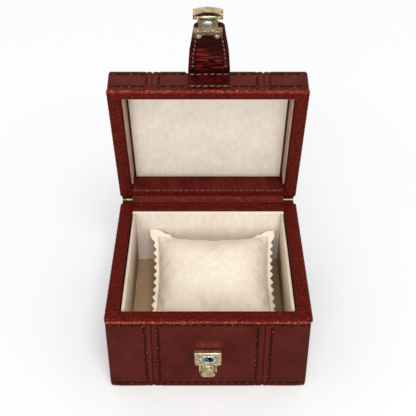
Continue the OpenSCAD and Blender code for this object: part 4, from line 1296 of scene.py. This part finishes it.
thick = edge.modifiers.new("felt", "SOLIDIFY")
thick.thickness, thick.offset = pinked["thick"] * mm, 0
applyAll(edge)
edge.data.transform(pillowPlace)
outwards(edge)
smooth(edge, 30)
pillowPiece = joinAll("pillowCover", [cover, edge])
dress(pillowPiece, "pillow", "pillow", ["pillow"])
print("pillow made")

# Table, light and camera
studio = {"floor": 4.0, "near": 0.1, "far": 0.8, "sky": 0.5, "key": 40.0, "fill": 18.0, "away": 2.5,
          "lampSize": 1.2, "aim": (0, 0, 0.05)}


def lightPathFinish(name, colour, near, far):
    # White where the camera or a reflection sees it, less so near the case, where its shadow falls
    pale = Finish(name, 0.9)
    pale.set("Base Color", colour)
    camera, glossy, clear = [pale.seen(kind) for kind in ("Camera", "Glossy", "Transmission")]
    glow = pale.node("ShaderNodeEmission", {}, {"Color": (1, 1, 1, 1), "Strength": 1.0}, "Emission")
    reach = pale.node("ShaderNodeVectorMath", {"operation": "LENGTH"}, {0: pale.place}, "Value")
    factor = (camera + glossy + clear).under(1.0) * (pale.band(reach, 0.08, 0.32) * (far - near) + near)
    mix = pale.node("ShaderNodeMixShader", {}, {0: factor, 1: Value(pale, pale.shader.outputs[0]), 2: glow})
    pale.feed(pale.tree.nodes["Material Output"].inputs["Surface"], mix)
    return pale.material


table = added(bpy.ops.mesh.primitive_plane_add, "table", size=studio["floor"])
table.data.materials.append(lightPathFinish("paleTable", (0.95, 0.95, 0.95, 1), studio["near"], studio["far"]))

world = bpy.data.worlds.new("studio") if not bpy.context.scene.world else bpy.context.scene.world
bpy.context.scene.world = world
world.use_nodes = True
sky = Nodes(world.node_tree)
background = world.node_tree.nodes["Background"]
background.inputs["Color"].default_value = (1, 1, 1, 1)
sky.feed(background.inputs["Strength"], sky.seen("Camera").above(studio["sky"]).above(sky.seen("Glossy")))


def softLamp(name, place, power):
    lamp = bpy.data.lights.new(name, "AREA")
    lamp.shape, lamp.size, lamp.energy = "DISK", studio["lampSize"], power
    holder = bpy.data.objects.new(name, lamp)
    bpy.context.scene.collection.objects.link(holder)
    holder.location = place
    holder.rotation_euler = (Vector(studio["aim"]) - place).to_track_quat("-Z", "Y").to_euler()


for name, place in (("key", (0.12, -0.55, 0.9)), ("fill", (-0.25, -0.95, 0.42))):
    softLamp(name + "Lamp", Vector(place) * studio["away"], studio[name])

view = {"place": (0, -0.34696, 0.36223), "down": 34.107, "lens": 68.33, "shiftY": -0.1394}
camera = bpy.data.objects.new("camera", bpy.data.cameras.new("camera"))
bpy.context.scene.collection.objects.link(camera)
camera.location = view["place"]
camera.rotation_euler = (math.radians(90 - view["down"]), 0, 0)
camera.data.lens, camera.data.sensor_width = view["lens"], 36.0
camera.data.shift_y = view["shiftY"]
camera.data.clip_start = 0.01
bpy.context.scene.camera = camera
bpy.context.scene.view_settings.view_transform = "Standard"
print("studio ready")
